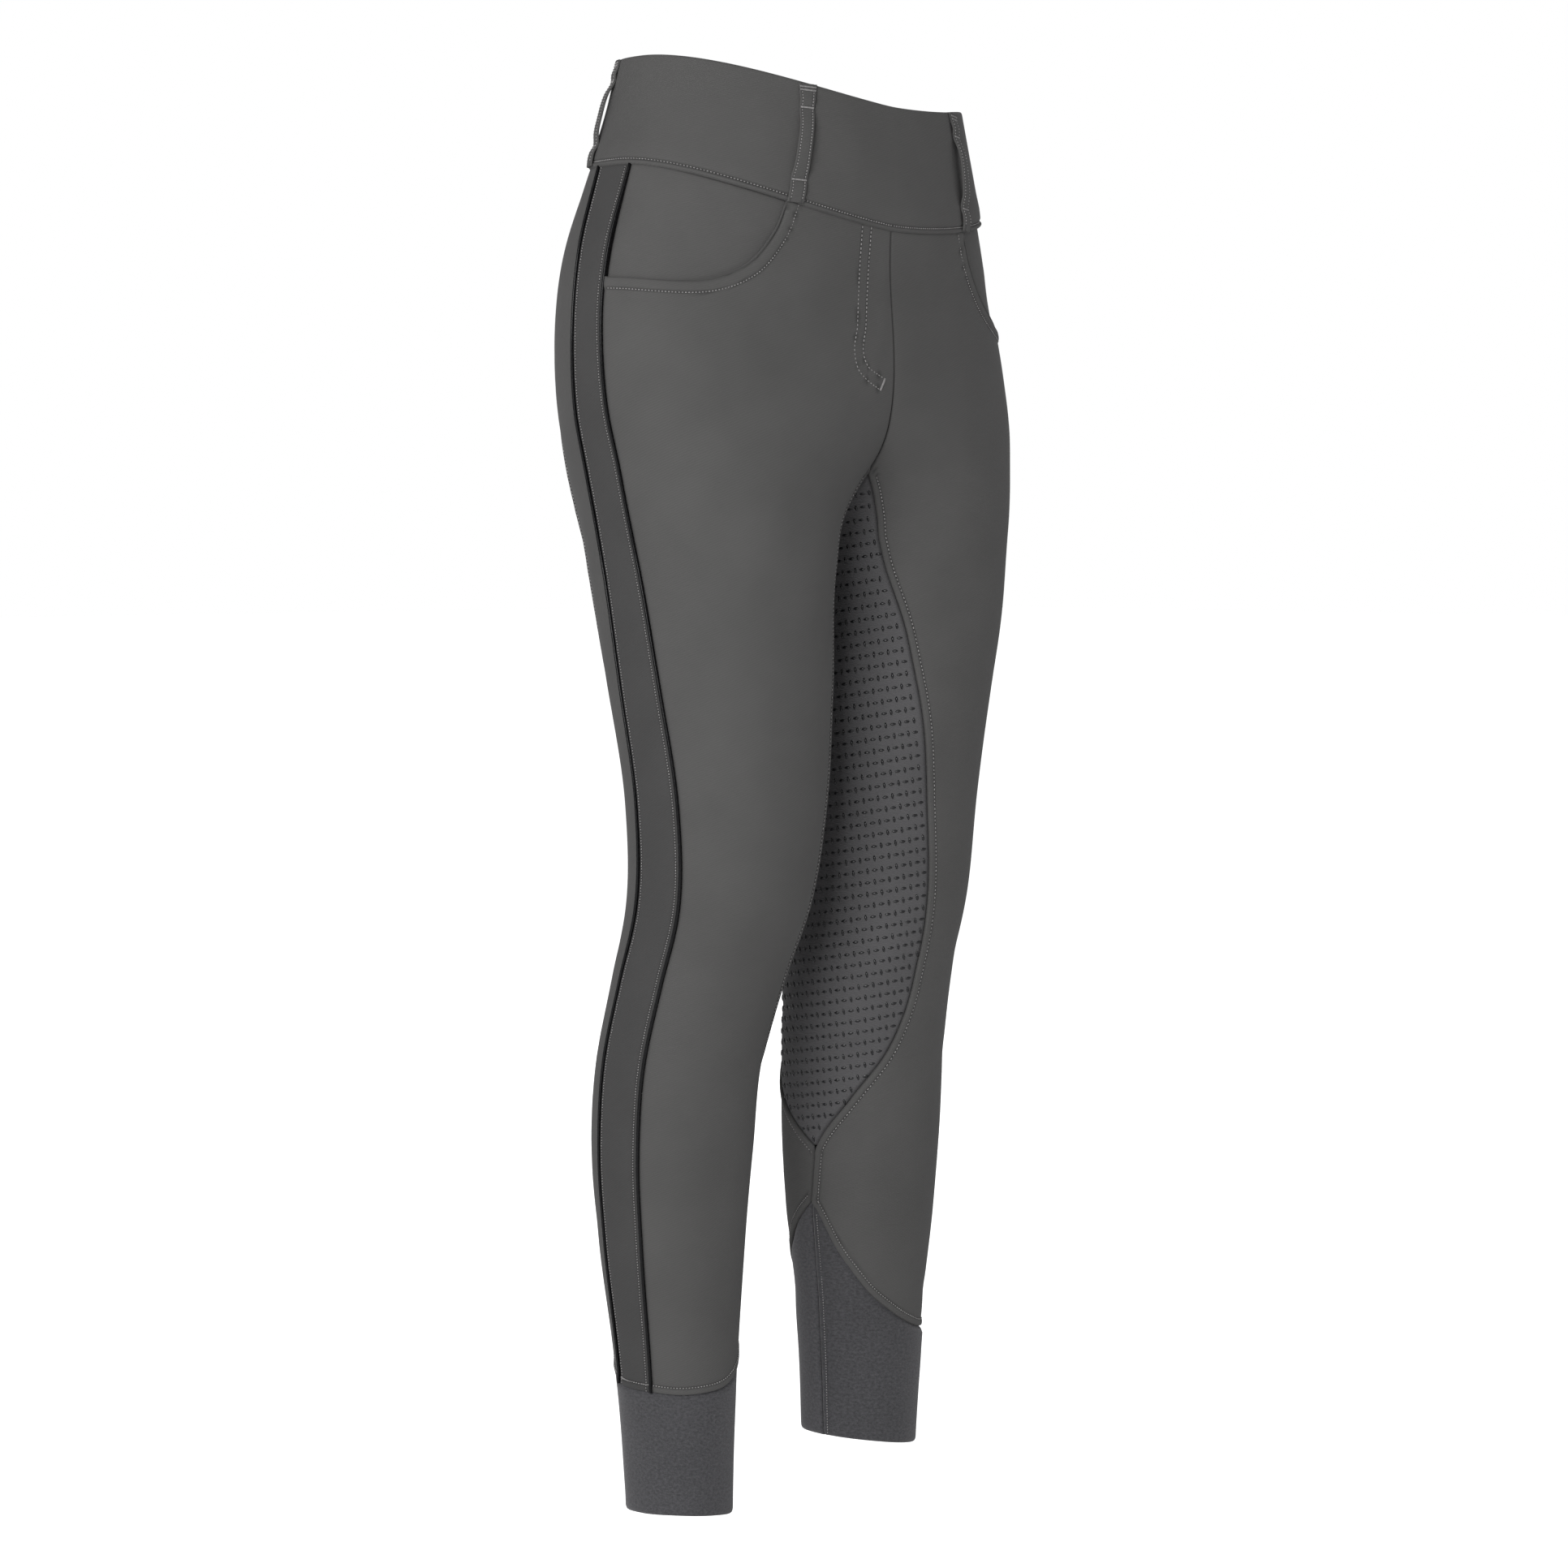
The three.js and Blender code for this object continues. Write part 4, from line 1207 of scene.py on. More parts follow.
class Stitching:
    """Gathers stitches into one shape."""

    def __init__(self) -> None:
        """Starts with none."""
        self.shapes: list[Shape] = []

    def add(self, points: Array, runs: Array, normals: Array, length: float,
            thickness: float = 0.75) -> None:
        """Adds one stitch at each point.

        Args:
            points: their middles, on the cloth's face.
            runs: the directions in which they lie.
            normals: the directions out of the cloth.
            length: their length.
            thickness: their width.
        """
        along = unit(runs - normals * (runs * normals).sum(1, keepdims=True))
        aside = np.cross(normals, along)
        template, faces = capsule(length, thickness, thickness * 0.85)
        frames = np.stack([along, aside, normals], 1)
        self.shapes.append(repeated(template, faces, points, frames))

    def add_row(self, row: Row, height: Callable[[Array], Array]) -> None:
        """Adds a row of stitches on the body, lying on a cloth of the given height.

        Args:
            row: the row.
            height: height of the cloth over the body surface at given points.
        """
        line = row.line
        at = row.places()
        place = line.at(at)
        base = BODY.point(line.side, place[:, 0], place[:, 1])
        keep = np.ones(len(at), dtype=bool)
        for other, distance in row.keep_from:
            keep &= other.nearest(base)[0] > distance
        base, place, at = base[keep], place[keep], at[keep]
        if not len(at):
            return
        normals = BODY.normal(line.side, place[:, 0], place[:, 1])
        runs = np.stack([np.interp(at + 1, line.along, line.points[:, k])
                         - np.interp(at - 1, line.along, line.points[:, k]) for k in range(3)], 1)
        length = row.pitch * STITCH_SHARE
        if row.across:
            runs = np.cross(normals, unit(runs))
            length = row.across
        self.add(base + normals * (height(base) + 0.12)[:, None], runs, normals, length)

    def sew_on(self, node: str, slot: str, finishes: "Finishes") -> None:
        """Makes all the stitches one piece of thread on a node's cloth.

        Args:
            node: the node whose cloth they hold.
            slot: the record's material slot; not used.
            finishes: the garment's materials.
        """
        sewn = self.shape().put(node + "_stitching", finishes.thread)
        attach(sewn, "root")

    def shape(self) -> Shape:
        """All the stitches as one shape."""
        total = 0
        blocks = []
        for shape in self.shapes:
            blocks += [block + total for block in shape.faces]
            total += len(shape.points)
        return Shape(np.concatenate([s.points for s in self.shapes]), blocks,
                     np.concatenate([s.weave for s in self.shapes]),
                     np.concatenate([s.shade for s in self.shapes]))


# ---------- the sewn pieces ----------
@dataclass(frozen=True)
class Cut:
    """What a piece was cut from the roll as: its box and its area, in metres."""

    width: float
    length: float
    area: Optional[float] = None


CUTS = {"waistband": Cut(0.79, 0.078, 0.0585)}
FILLING = 0.8                   # share of its box that a cut piece is taken to fill
LEAST_LENGTH, LEAST_WIDTH = 0.02, 0.011


def declare(piece: bpy.types.Object, node: str, slot: str, shape: Shape) -> None:
    """Attaches a cloth piece to the root, hides the solid that it stands for and works out what it
    was cut from.

    A piece that CUTS doesn't name has its cut worked back from its own mesh: half the mesh's area,
    as long as the piece is high, and as wide as a general filling of its box makes it. Its
    measured area agrees with that by construction.

    Args:
        piece: the cloth.
        node: the solid that it stands for.
        slot: the record's material slot; not used.
        shape: its shape.
    """
    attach(piece, "root")
    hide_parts(node)
    area = 0.0
    for block in shape.faces:
        p = shape.points[block] * MM
        for k in range(1, block.shape[1] - 1):
            area += np.linalg.norm(np.cross(p[:, k] - p[:, 0], p[:, k + 1] - p[:, 0]),
                                   axis=1).sum() / 2
    box = np.ptp(shape.points, axis=0) * MM
    cut = CUTS.get(node)
    LOG.info("%s: %.4f square metres a face, box %s, %d points", node, area / 2,
             np.round(box, 3).tolist(), len(shape.points))
    if cut is None:
        half = area / 2
        length = max(float(box[2]), LEAST_LENGTH)
        width = max(half / length / FILLING, LEAST_WIDTH)
        cut = Cut(width, length, half)


# Distances of a panel's grid lines from an edge, for each kind of edge.
FINE = (0.12, 0.45, 0.9, 1.4, 2.1, 3.0, 4.2, 5.2, 5.8, 6.4, 7.0, 7.8, 9.2, 11.5)
PLAIN = (0.12, 0.5, 1.0, 1.7, 2.8, 4.4, 7.0)
STRIPED = (0.95, 1.25, 1.6, 2.2, 2.9, 3.4, 3.8, 4.2, 4.8, 6.0)
HEMMED = (0.0, 0.4, 0.9, 1.5, 2.4, 3.4, 4.3, 4.9, 5.5, 6.4, 8.5)
MOUTHED = (0.0, 0.4, 0.9, 1.5, 2.4, 3.6, 4.8, 6.0, 7.0, 7.7, 8.3, 9.2, 11.5)
CORDED = (1.0, 1.3, 1.7, 2.4, 3.4, 5.0, 7.5)
ENDS = np.array([0.0, 1.0])


# Rows of stitching beside seams: the row, its seam, how far off, and which way it lies.
STITCH_LINES = (
    ("front_stitch", "front_seam", LIP_WIDTH, (1, 0)),
    ("inner_stitch", "inner_front", LIP_WIDTH, (1, 0)),
    ("back_stitch", "back_seam", LIP_WIDTH, (-1, 0)),
    ("hem_front_stitch", "hem_front", HEM_LIP, (0, 1)),
    ("hem_back_stitch", "hem_back", HEM_LIP, (0, 1)),
    ("hem_side_stitch", "hem_side", HEM_LIP, (0, 1)),
    ("mouth_stitch", "mouth", POCKET_LIP, (0, -1)),
    ("stripe_front_stitch", "stripe_front", STRIPE_LIP, (1, 0)),
    ("stripe_back_stitch", "stripe_back", STRIPE_LIP, (-1, 0)),
    ("back_row", "centre_back", CENTRE_LIP, (-1, 0)),
)


@dataclass
class Seams:
    """The lines of one side that its pieces share."""

    side: Side
    lines: dict = field(default_factory=dict)

    def __post_init__(self) -> None:
        """Samples every seam of the side."""
        side, lines = self.side, self.lines
        for name, curve, steps in (
                ("centre_front", centre_front, 160),
                ("front_seam", front_seam(KNEE_POINT), 500),
                ("inner_front", inner_seam(-360), 40),
                ("back_seam", back_seam(KNEE_POINT), 700),
                ("hem_front", hem_line(HEM_FRONT, SPLIT_ANGLE - 360, -8), 300),
                ("hem_back", hem_line(HEM_BACK, 6, SPLIT_ANGLE), 260),
                ("hem_side", straight((-26, HEM_SIDE), (36, HEM_SIDE)), 50),
                ("waist_front", waist_line(-90, 16), 160),
                ("waist_back", waist_line(0, 90), 150),
                ("mouth", pocket_mouth(), 160),
                ("centre_back", centre_behind, 240),
                ("crotch", crotch_ahead, 60)):
            lines[name] = Line(side, curve, steps)
        for edge in ("front", "back"):
            lines["stripe_" + edge] = Line(side, read_down(
                STRIPE, edge, stripe_top(edge), stripe_foot(edge)), 600)
        for name, seam, distance, toward in STITCH_LINES:
            lines[name] = lines[seam].moved(distance, toward)
        lines["fly_outer"] = self.table_line(FLY_OUTER)
        lines["fly_inner"] = self.table_line(FLY_INNER)

    def table_line(self, table: Table) -> Line:
        """A line read from a table of shares, angles and heights."""
        return Line(self.side, lambda t: spots(table.read("angle", t), table.read("z", t)), 120)

    def __getitem__(self, name: str) -> Line:
        """The line of a name."""
        return self.lines[name]


# Main creases: side, angle and height of the start and the end, depth and width.
CREASES = {
    Side.RIGHT: [
        ((-128, -236), (-62, -214), 0.9, 9), ((-134, -252), (-78, -262), 0.8, 10),
        ((-120, -222), (-84, -178), 0.5, 8), ((-60, -560), (-130, -548), 0.5, 12),
        ((-30, -640), (-120, -652), 0.5, 11), ((50, -575), (150, -590), 1.0, 8),
        ((60, -600), (165, -607), 0.9, 7), ((40, -550), (120, -562), 0.7, 9),
        ((-150, -540), (-210, -560), 0.7, 10), ((30, -285), (110, -272), 1.2, 14),
        ((-100, -835), (-20, -826), 0.5, 8), ((50, -800), (110, -775), 0.6, 8),
    ],
    Side.LEFT: [
        ((-130, -238), (-70, -222), 0.8, 9), ((-134, -256), (-90, -275), 0.6, 10),
        ((-60, -572), (-125, -560), 0.5, 12), ((-20, -650), (-110, -640), 0.5, 11),
        ((60, -580), (155, -588), 1.0, 8), ((50, -604), (140, -615), 0.9, 7),
        ((40, -556), (130, -560), 0.7, 9), ((28, -288), (105, -276), 1.2, 14),
        ((-120, -826), (-40, -838), 0.5, 8), ((50, -806), (110, -782), 0.6, 8),
    ],
}


def under_band(line: Line) -> Tuck:
    """A panel's top edge, which goes under the waistband's lip."""
    return Tuck(line, 0.7, 1.2)


def turned_hem(line: Line) -> Turned:
    """The shell's lower edge, flatter than the lips over the grip."""
    return Turned(line, HEM_LIP, 0.6, 0.3, 1.0)


def strip(side: Side, left: Curve, right: Curve) -> Patch:
    """A patch from the waist seam down between two edges, with a straight foot."""
    (a, b), (c, d) = left(ENDS), right(ENDS)
    return Patch(side, top=waist_line(float(a[0]), float(c[0])), bottom=straight(b, d),
                 left=left, right=right)


def creases(side: Side) -> list[Crease]:
    """The main creases of one side."""
    return [Crease(Line(side, straight(start, end), 60), depth, width)
            for start, end, depth, width in CREASES[side]]


@dataclass
class Panel:
    """A sewn panel of one side: its patch, its features, its stitching and its finish."""

    node: str
    patch: Patch
    spread: Spread
    features: list
    rows: list
    slot: str
    material: bpy.types.Material
    thickness: float = SHELL_WALL
    sunk: Optional[Callable[[Array, Array], Array]] = None
    lean: float = 0.0

    def height(self, points: Array) -> Array:
        """Height of the cloth's face over the body surface."""
        return combined(self.features, points)[0] + drift(points)

    def build(self, finishes: Finishes) -> bpy.types.Object:
        """Builds the cloth and its stitching.

        Args:
            finishes: the garment's materials.

        Returns:
            The cloth's object.
        """
        side = self.patch.side
        grid = self.patch.grid(self.spread)
        angle, z = grid[..., 0], grid[..., 1]
        points, normals = BODY.skin(side, angle, z)
        height, shade = combined(self.features, points)
        height = height + drift(points)
        if self.sunk is not None:
            u = np.linspace(0, 1, grid.shape[1])[None]
            v = np.linspace(0, 1, grid.shape[0])[:, None]
            height = height + self.sunk(u, v)
        outer = points + normals * height[..., None]
        inner = points + normals * (np.minimum(height, 0) * 0.5
                                    + np.where(height < -1.5, height * 0.5, 0)
                                    - self.thickness)[..., None]
        run = BODY.around(side, angle, z, 0.0)
        weave = np.stack([-side.value * run, z + self.lean * run, np.zeros_like(z)], -1)
        shape = wall(outer, inner, weave, shade)
        piece = shape.put(self.node + "_cloth", self.material)
        declare(piece, self.node, self.slot, shape)
        if self.rows:
            stitching = Stitching()
            for row in self.rows:
                stitching.add_row(row, self.height)
            stitching.sew_on(self.node, self.slot, finishes)
        return piece


def front_panel(seams: Seams, finishes: Finishes) -> Panel:
    """The front of one leg, with the pocket mouth, and on the right the mock fly."""
    side = seams.side
    mouth = pocket_mouth()
    start = float(centre_front(np.array(0.0))[0])
    corner = float(mouth(np.array(0.0))[0])
    right = read_down(STRIPE, "front", POCKET_CORNER, stripe_foot("front"))
    patch = Patch(
        side,
        top=chained((3, waist_line(start, corner)), (8, mouth)),
        bottom=hem_line(HEM_FRONT, SPLIT_ANGLE - 360, float(right(np.array(1.0))[0])),
        left=chained((6, centre_front), (16, front_seam(KNEE_POINT)), (2, inner_seam(-360))),
        right=right)
    lips = [(seams[name], LIP_WIDTH - LIP_OVERRUN) for name in ("front_seam", "inner_front")]
    hem = [(seams["hem_front"], HEM_LIP - LIP_OVERRUN)]
    cord = [(seams["stripe_front"], CORD_CLEAR)]
    features = [
        Tuck(seams["centre_front"], 0.75, 0.9), Turned(seams["front_seam"]),
        Turned(seams["inner_front"]), turned_hem(seams["hem_front"]),
        Turned(seams["mouth"], POCKET_LIP, 0.9, 0.55, 1.6), under_band(seams["waist_front"]),
        Tuck(seams["stripe_front"], 0.8, 1.9), Groove(seams["front_stitch"]),
        Groove(seams["inner_stitch"]), Groove(seams["hem_front_stitch"]),
        Groove(seams["mouth_stitch"]), *creases(side)]
    rows = [
        Row(seams["front_stitch"], 0.012, 1.0, pitch=FRONT_PITCH, keep_from=hem),
        Row(seams["inner_stitch"], keep_from=hem),
        Row(seams["hem_front_stitch"], pitch=HEM_PITCH, keep_from=lips + cord),
        Row(seams["mouth_stitch"], pitch=MOUTH_PITCH,
            keep_from=cord + [(seams["waist_front"], WAIST_CLEAR)]),
    ]
    near = FINE
    if side is Side.RIGHT:
        near = FINE + tuple(np.arange(13.0, 15.5, 1.2)) + tuple(np.arange(15.8, 29.5, 0.75))
        features += [Groove(seams["fly_outer"]), Groove(seams["fly_inner"]),
                     Crease(Line(side, straight((-88, -60), (-91, -176)), 60), -0.55, 6)]
        rows += [Row(seams["fly_outer"], 0.01, pitch=FLY_PITCH),
                 Row(seams["fly_inner"], 0.01, pitch=FLY_PITCH),
                 Row(Line(side, straight((-96.5, -171.5), (-97.4, -180)), 20),
                     pitch=TACK_PITCH, across=1.9)]
    top = MOUTHED + tuple(np.arange(13.0, 60.0, 1.3))
    spread = Spread(near, CORDED, top, HEMMED, 58, 150)
    return Panel(f"front_panel_{side.word}", patch, spread, features, rows, "shell",
                 finishes.shell)


def back_panel(seams: Seams, finishes: Finishes) -> Panel:
    """The back outer part of one leg, from the waist to the hem's petal."""
    side = seams.side
    left = chained((31, read_down(STRIPE, "back", stripe_top("back"), stripe_foot("back"))))
    right = chained((29, back_seam(KNEE_POINT)), (2, inner_seam(0)))
    patch = Patch(
        side,
        top=waist_line(float(left(ENDS)[0, 0]), float(right(ENDS)[0, 0])),
        bottom=hem_line(HEM_BACK, float(left(ENDS)[1, 0]), SPLIT_ANGLE),
        left=left, right=right)
    inner = Line(side, inner_seam(0), 40)
    features = [
        Turned(seams["back_seam"]), turned_hem(seams["hem_back"]),
        under_band(seams["waist_back"]), Tuck(seams["stripe_back"], 0.8, 1.9),
        Tuck(inner, 0.9, 1.6), Groove(seams["back_stitch"]),
        Groove(seams["hem_back_stitch"]), *creases(side)]
    rows = [
        Row(seams["back_stitch"], keep_from=[
            (seams["waist_back"], WAIST_CLEAR), (seams["hem_back"], HEM_LIP - LIP_OVERRUN),
            (inner, INNER_CLEAR)]),
        Row(seams["hem_back_stitch"], pitch=HEM_PITCH, keep_from=[
            (seams["back_seam"], LIP_WIDTH - LIP_OVERRUN), (inner, INNER_CLEAR),
            (seams["stripe_back"], CORD_CLEAR)]),
    ]
    spread = Spread(CORDED, FINE, PLAIN, HEMMED, 10, 150)
    return Panel(f"back_panel_{side.word}", patch, spread, features, rows, "shell",
                 finishes.shell)


def seat_grip(seams: Seams, finishes: Finishes) -> Panel:
    """The printed grip of one side, over the seat and the inner thigh to the knee point."""
    side = seams.side
    left = back_seam(GRIP_END)
    right = chained((9, centre_behind), (4, crotch_ahead), (16, front_seam(GRIP_END, 360)))
    patch = strip(side, left, right)
    features = [
        Tuck(seams["front_seam"], 0.8, 1.5), Tuck(seams["back_seam"], 0.8, 1.5),
        Tuck(seams["centre_back"], 0.8, 0.9), Tuck(seams["crotch"], 0.8, 0.9),
        under_band(seams["waist_back"]), Groove(seams["back_row"]), *creases(side)]
    rows = [Row(seams["back_row"], keep_from=[(seams["waist_back"], WAIST_CLEAR)])]
    spread = Spread(PLAIN, PLAIN, PLAIN, (0.1, 0.6, 1.4), 34, 150)
    return Panel(f"seat_grip_{side.word}", patch, spread, features, rows, "grip", finishes.grip,
                 lean=-GRIP_SLOPE)


def side_stripe(seams: Seams, finishes: Finishes) -> Panel:
    """The strip between the two pipings, topstitched beside each."""
    side = seams.side
    left = read_down(STRIPE, "front", stripe_top("front"), stripe_foot("front"))
    right = read_down(STRIPE, "back", stripe_top("back"), stripe_foot("back"))
    patch = strip(side, left, right)
    features = [
        Tuck(seams["stripe_front"], 0.8, 1.7), Tuck(seams["stripe_back"], 0.8, 1.7),
        under_band(seams["waist_front"]), Groove(seams["stripe_front_stitch"]),
        Groove(seams["stripe_back_stitch"]), Groove(seams["hem_side_stitch"]),
        turned_hem(seams["hem_side"])]
    clear = [(seams["waist_front"], WAIST_CLEAR)]
    cords = [(seams["stripe_" + edge], CORD_CLEAR) for edge in ("front", "back")]
    rows = [Row(seams["stripe_front_stitch"], pitch=STRIPE_PITCH, keep_from=clear),
            Row(seams["stripe_back_stitch"], pitch=STRIPE_PITCH, keep_from=clear),
            Row(seams["hem_side_stitch"], keep_from=cords)]
    spread = Spread(STRIPED, STRIPED, PLAIN, HEMMED, 5, 170)
    return Panel(f"side_stripe_{side.word}", patch, spread, features, rows, "stripe",
                 finishes.stripe)


def pocket_facing(seams: Seams, finishes: Finishes) -> Panel:
    """The facing behind the pocket mouth, level with the stripe at their seam."""
    side = seams.side
    left = pocket_mouth(FACING_OVERLAP, 0, MOUTH_HALF)
    low = pocket_mouth(FACING_OVERLAP, MOUTH_HALF, 1)
    corner = float(left(ENDS)[0, 0])
    left_top = float(waist_seam(np.array(corner)))

    def upright(t: Array) -> Array:
        """The inner edge, carried up to the waist seam."""
        line = left(t)
        line[..., 1] += (left_top - float(left(ENDS)[0, 1])) * (1 - t)
        return line

    foot = float(low(ENDS)[1, 1])
    right = read_down(STRIPE, "front", stripe_top("front"), foot)

    def bottom(t: Array) -> Array:
        """The lower edge, carried out to the stripe's seam."""
        line = low(t)
        line[..., 0] += (float(right(ENDS)[1, 0]) - float(low(ENDS)[1, 0])) * t
        return line

    patch = Patch(side, top=waist_line(corner, float(right(ENDS)[0, 0])), bottom=bottom,
                  left=upright, right=right)

    def sunk(u: Array, v: Array) -> Array:
        """How far the facing lies below the panel: level at the waist and the stripe."""
        return -FACING_SUNK * (1 - ease(*FACING_RISE, np.minimum(u + 0 * v, 1 - v + 0 * u)))

    features = [under_band(seams["waist_front"]), Tuck(seams["stripe_front"], 0.8, 1.7)]
    spread = Spread((0.1,), CORDED[:-1], PLAIN, (0.1,), 26, 26)
    return Panel(f"pocket_facing_{side.word}", patch, spread, features, [], "shell",
                 finishes.facing, FACING_WALL, sunk)


# ---------- grip print ----------
GRIP_SLOPE = math.tan(math.radians(9.5))
PRINT_TOP = 10.0                # height of the first row at the inner leg
PRINT_ROW = 8.15                # between rows of dashes
PRINT_STEP = 5.05               # between dashes in a row, lying and standing in turn
PRINT_SHIFT = 5.1               # each lower row set back by this
PRINT_ROWS = (-8, 92)
PRINT_STEPS = (-90, 61)
PRINT_CLEAR = 1.9               # middle of a dash from the grip's seams
PRINT_BELOW_WAIST = 4.0

# Length, width, height and pointedness of the lying and of the standing dashes.
DASHES = ((4.5, 2.4, 0.4, 0.45), (4.8, 2.0, 0.7, 0.15))


@dataclass
class GripPrint:
    """Raised silicone dashes, lying and standing in turn along slanting rows."""

    seams: Seams
    cloth: Panel

    def places(self) -> tuple[Array, Array, Array]:
        """Angles, heights and kinds of the dashes that lie on the grip, clear of its seams."""
        side = self.seams.side
        rows, steps = np.meshgrid(np.arange(*PRINT_ROWS), np.arange(*PRINT_STEPS), indexing="ij")
        run = steps * PRINT_STEP - np.mod(rows * PRINT_SHIFT, 2 * PRINT_STEP)
        z = PRINT_TOP - rows * PRINT_ROW + GRIP_SLOPE * run
        turns = np.linspace(0, 300, 601)
        z_flat, run_flat = z.ravel(), run.ravel()
        kind = (steps.ravel() % 2).astype(int)
        inside = (z_flat < 0) & (z_flat > KNEE_POINT)
        z_flat, run_flat, kind = z_flat[inside], run_flat[inside], kind[inside]
        angle = np.empty(len(z_flat))
        for start in range(0, len(z_flat), 500):
            part = slice(start, start + 500)
            lengths = BODY.around(side, turns[None], np.repeat(z_flat[part, None], 601, 1), 180.0)
            over = (lengths < run_flat[part, None]).sum(1)
            over = np.clip(over, 1, 600)
            pick = np.arange(len(over))
            low, high = lengths[pick, over - 1], lengths[pick, over]
            share = np.clip((run_flat[part] - low) / np.maximum(high - low, 1e-6), 0, 1)
            angle[part] = mix(turns[over - 1], turns[over], share)
        reach = BODY.reach(z_flat)
        between = np.where((z_flat > FORK_BOTTOM) & (z_flat <= FORK_HEIGHT),
                           (angle < reach) | (angle > 360 - reach), True)
        ahead = np.where(z_flat > FORK_HEIGHT, reach, FRONT_SEAM.read("angle", z_flat) + 360)
        keep = (angle > BACK_SEAM.read("angle", z_flat)) & (angle < ahead) & between
        keep &= z_flat < waist_seam(np.minimum(angle, 90)) - PRINT_BELOW_WAIST
        angle, z_flat, kind = angle[keep], z_flat[keep], kind[keep]
        points = BODY.point(side, angle, z_flat)
        clear = np.ones(len(points), dtype=bool)
        for name in ("front_seam", "back_seam", "centre_back", "crotch"):
            clear &= self.seams[name].nearest(points)[0] > PRINT_CLEAR
        return angle[clear], z_flat[clear], kind[clear]

    def build(self, finishes: Finishes) -> bpy.types.Object:
        """Builds all the dashes of one side as one piece."""
        side = self.seams.side
        angle, z, kind = self.places()
        points, normals = BODY.skin(side, angle, z)
        aim = BODY.point(side, angle + 0.5, z + 0.5 * GRIP_SLOPE) - points
        run = unit(aim - normals * (aim * normals).sum(1, keepdims=True))
        up = np.cross(normals, run)
        centres = points + normals * self.cloth.height(points)[:, None]
        shapes = Stitching()
        for turned, (length, width, tall, point) in enumerate(DASHES):
            chosen = kind == turned
            along, aside = (run, up) if turned == 0 else (up, -run)
            template, faces = dome(length, width, tall, point)
            frames = np.stack([along[chosen], aside[chosen], normals[chosen]], 1)
            made = repeated(template, faces, centres[chosen], frames)
            gloss = np.full(len(made.points), float(turned))
            shapes.shapes.append(Shape(made.points, made.faces, made.weave, gloss))
        piece = shapes.shape().put(f"grip_print_{side.word}", finishes.print)
        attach(piece, "root")
        LOG.info("grip print %s: %d dashes", side.word, len(angle))
        return piece


# ---------- piping ----------
@dataclass
class Piping:
    """Black cord in the seam between a stripe's edge and the panel beside it."""

    seams: Seams
    edge: str
    sides: int = 14

    def build(self, finishes: Finishes) -> bpy.types.Object:
        """Carries a round section, with a shallow flute along its top, down the seam."""
        side = self.seams.side
        line = self.seams["stripe_" + self.edge]
        count = int(line.length / 3.2)
        at = np.linspace(1.0, line.length + 0.3, count)
        place = line.at(at)
        points, normals = BODY.skin(side, *place.T)
        run = unit(np.gradient(points, axis=0))
        aside = unit(np.cross(normals, run))
        hem = HEM_LIP - (line.length - at)
        lift = PIPING_LIFT + 0.75 * ease(-2.5, 1.5, hem)
        turn = np.radians(np.arange(self.sides) * 360 / self.sides)
        flute = 1 - 0.13 * bell(np.degrees(turn), 16, 105)
        size = PIPING_RADIUS * (1 + 0.04 * np.sin(at / 19))[:, None, None]
        ring = (aside[:, None] * (np.cos(turn) * flute)[None, :, None]
                + normals[:, None] * (np.sin(turn) * flute)[None, :, None]) * size
        tube = points[:, None] + normals[:, None] * lift[:, None, None] + ring
        index = np.arange(count * self.sides).reshape(count, self.sides)
        after = np.roll(index, -1, axis=1)
        quads = np.stack([index[:-1].ravel(), after[:-1].ravel(), after[1:].ravel(),
                          index[1:].ravel()], 1)
        caps = np.stack([index[0][::-1], index[-1]])
        flat = tube.reshape(-1, 3)
        shape = Shape(flat, [quads, caps], flat.copy(), np.zeros(len(flat)))
        node = f"piping_{self.edge}_{side.word}"
        piece = shape.put(node + "_cord", finishes.piping)
        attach(piece, "root")
        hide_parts(node)
        return piece


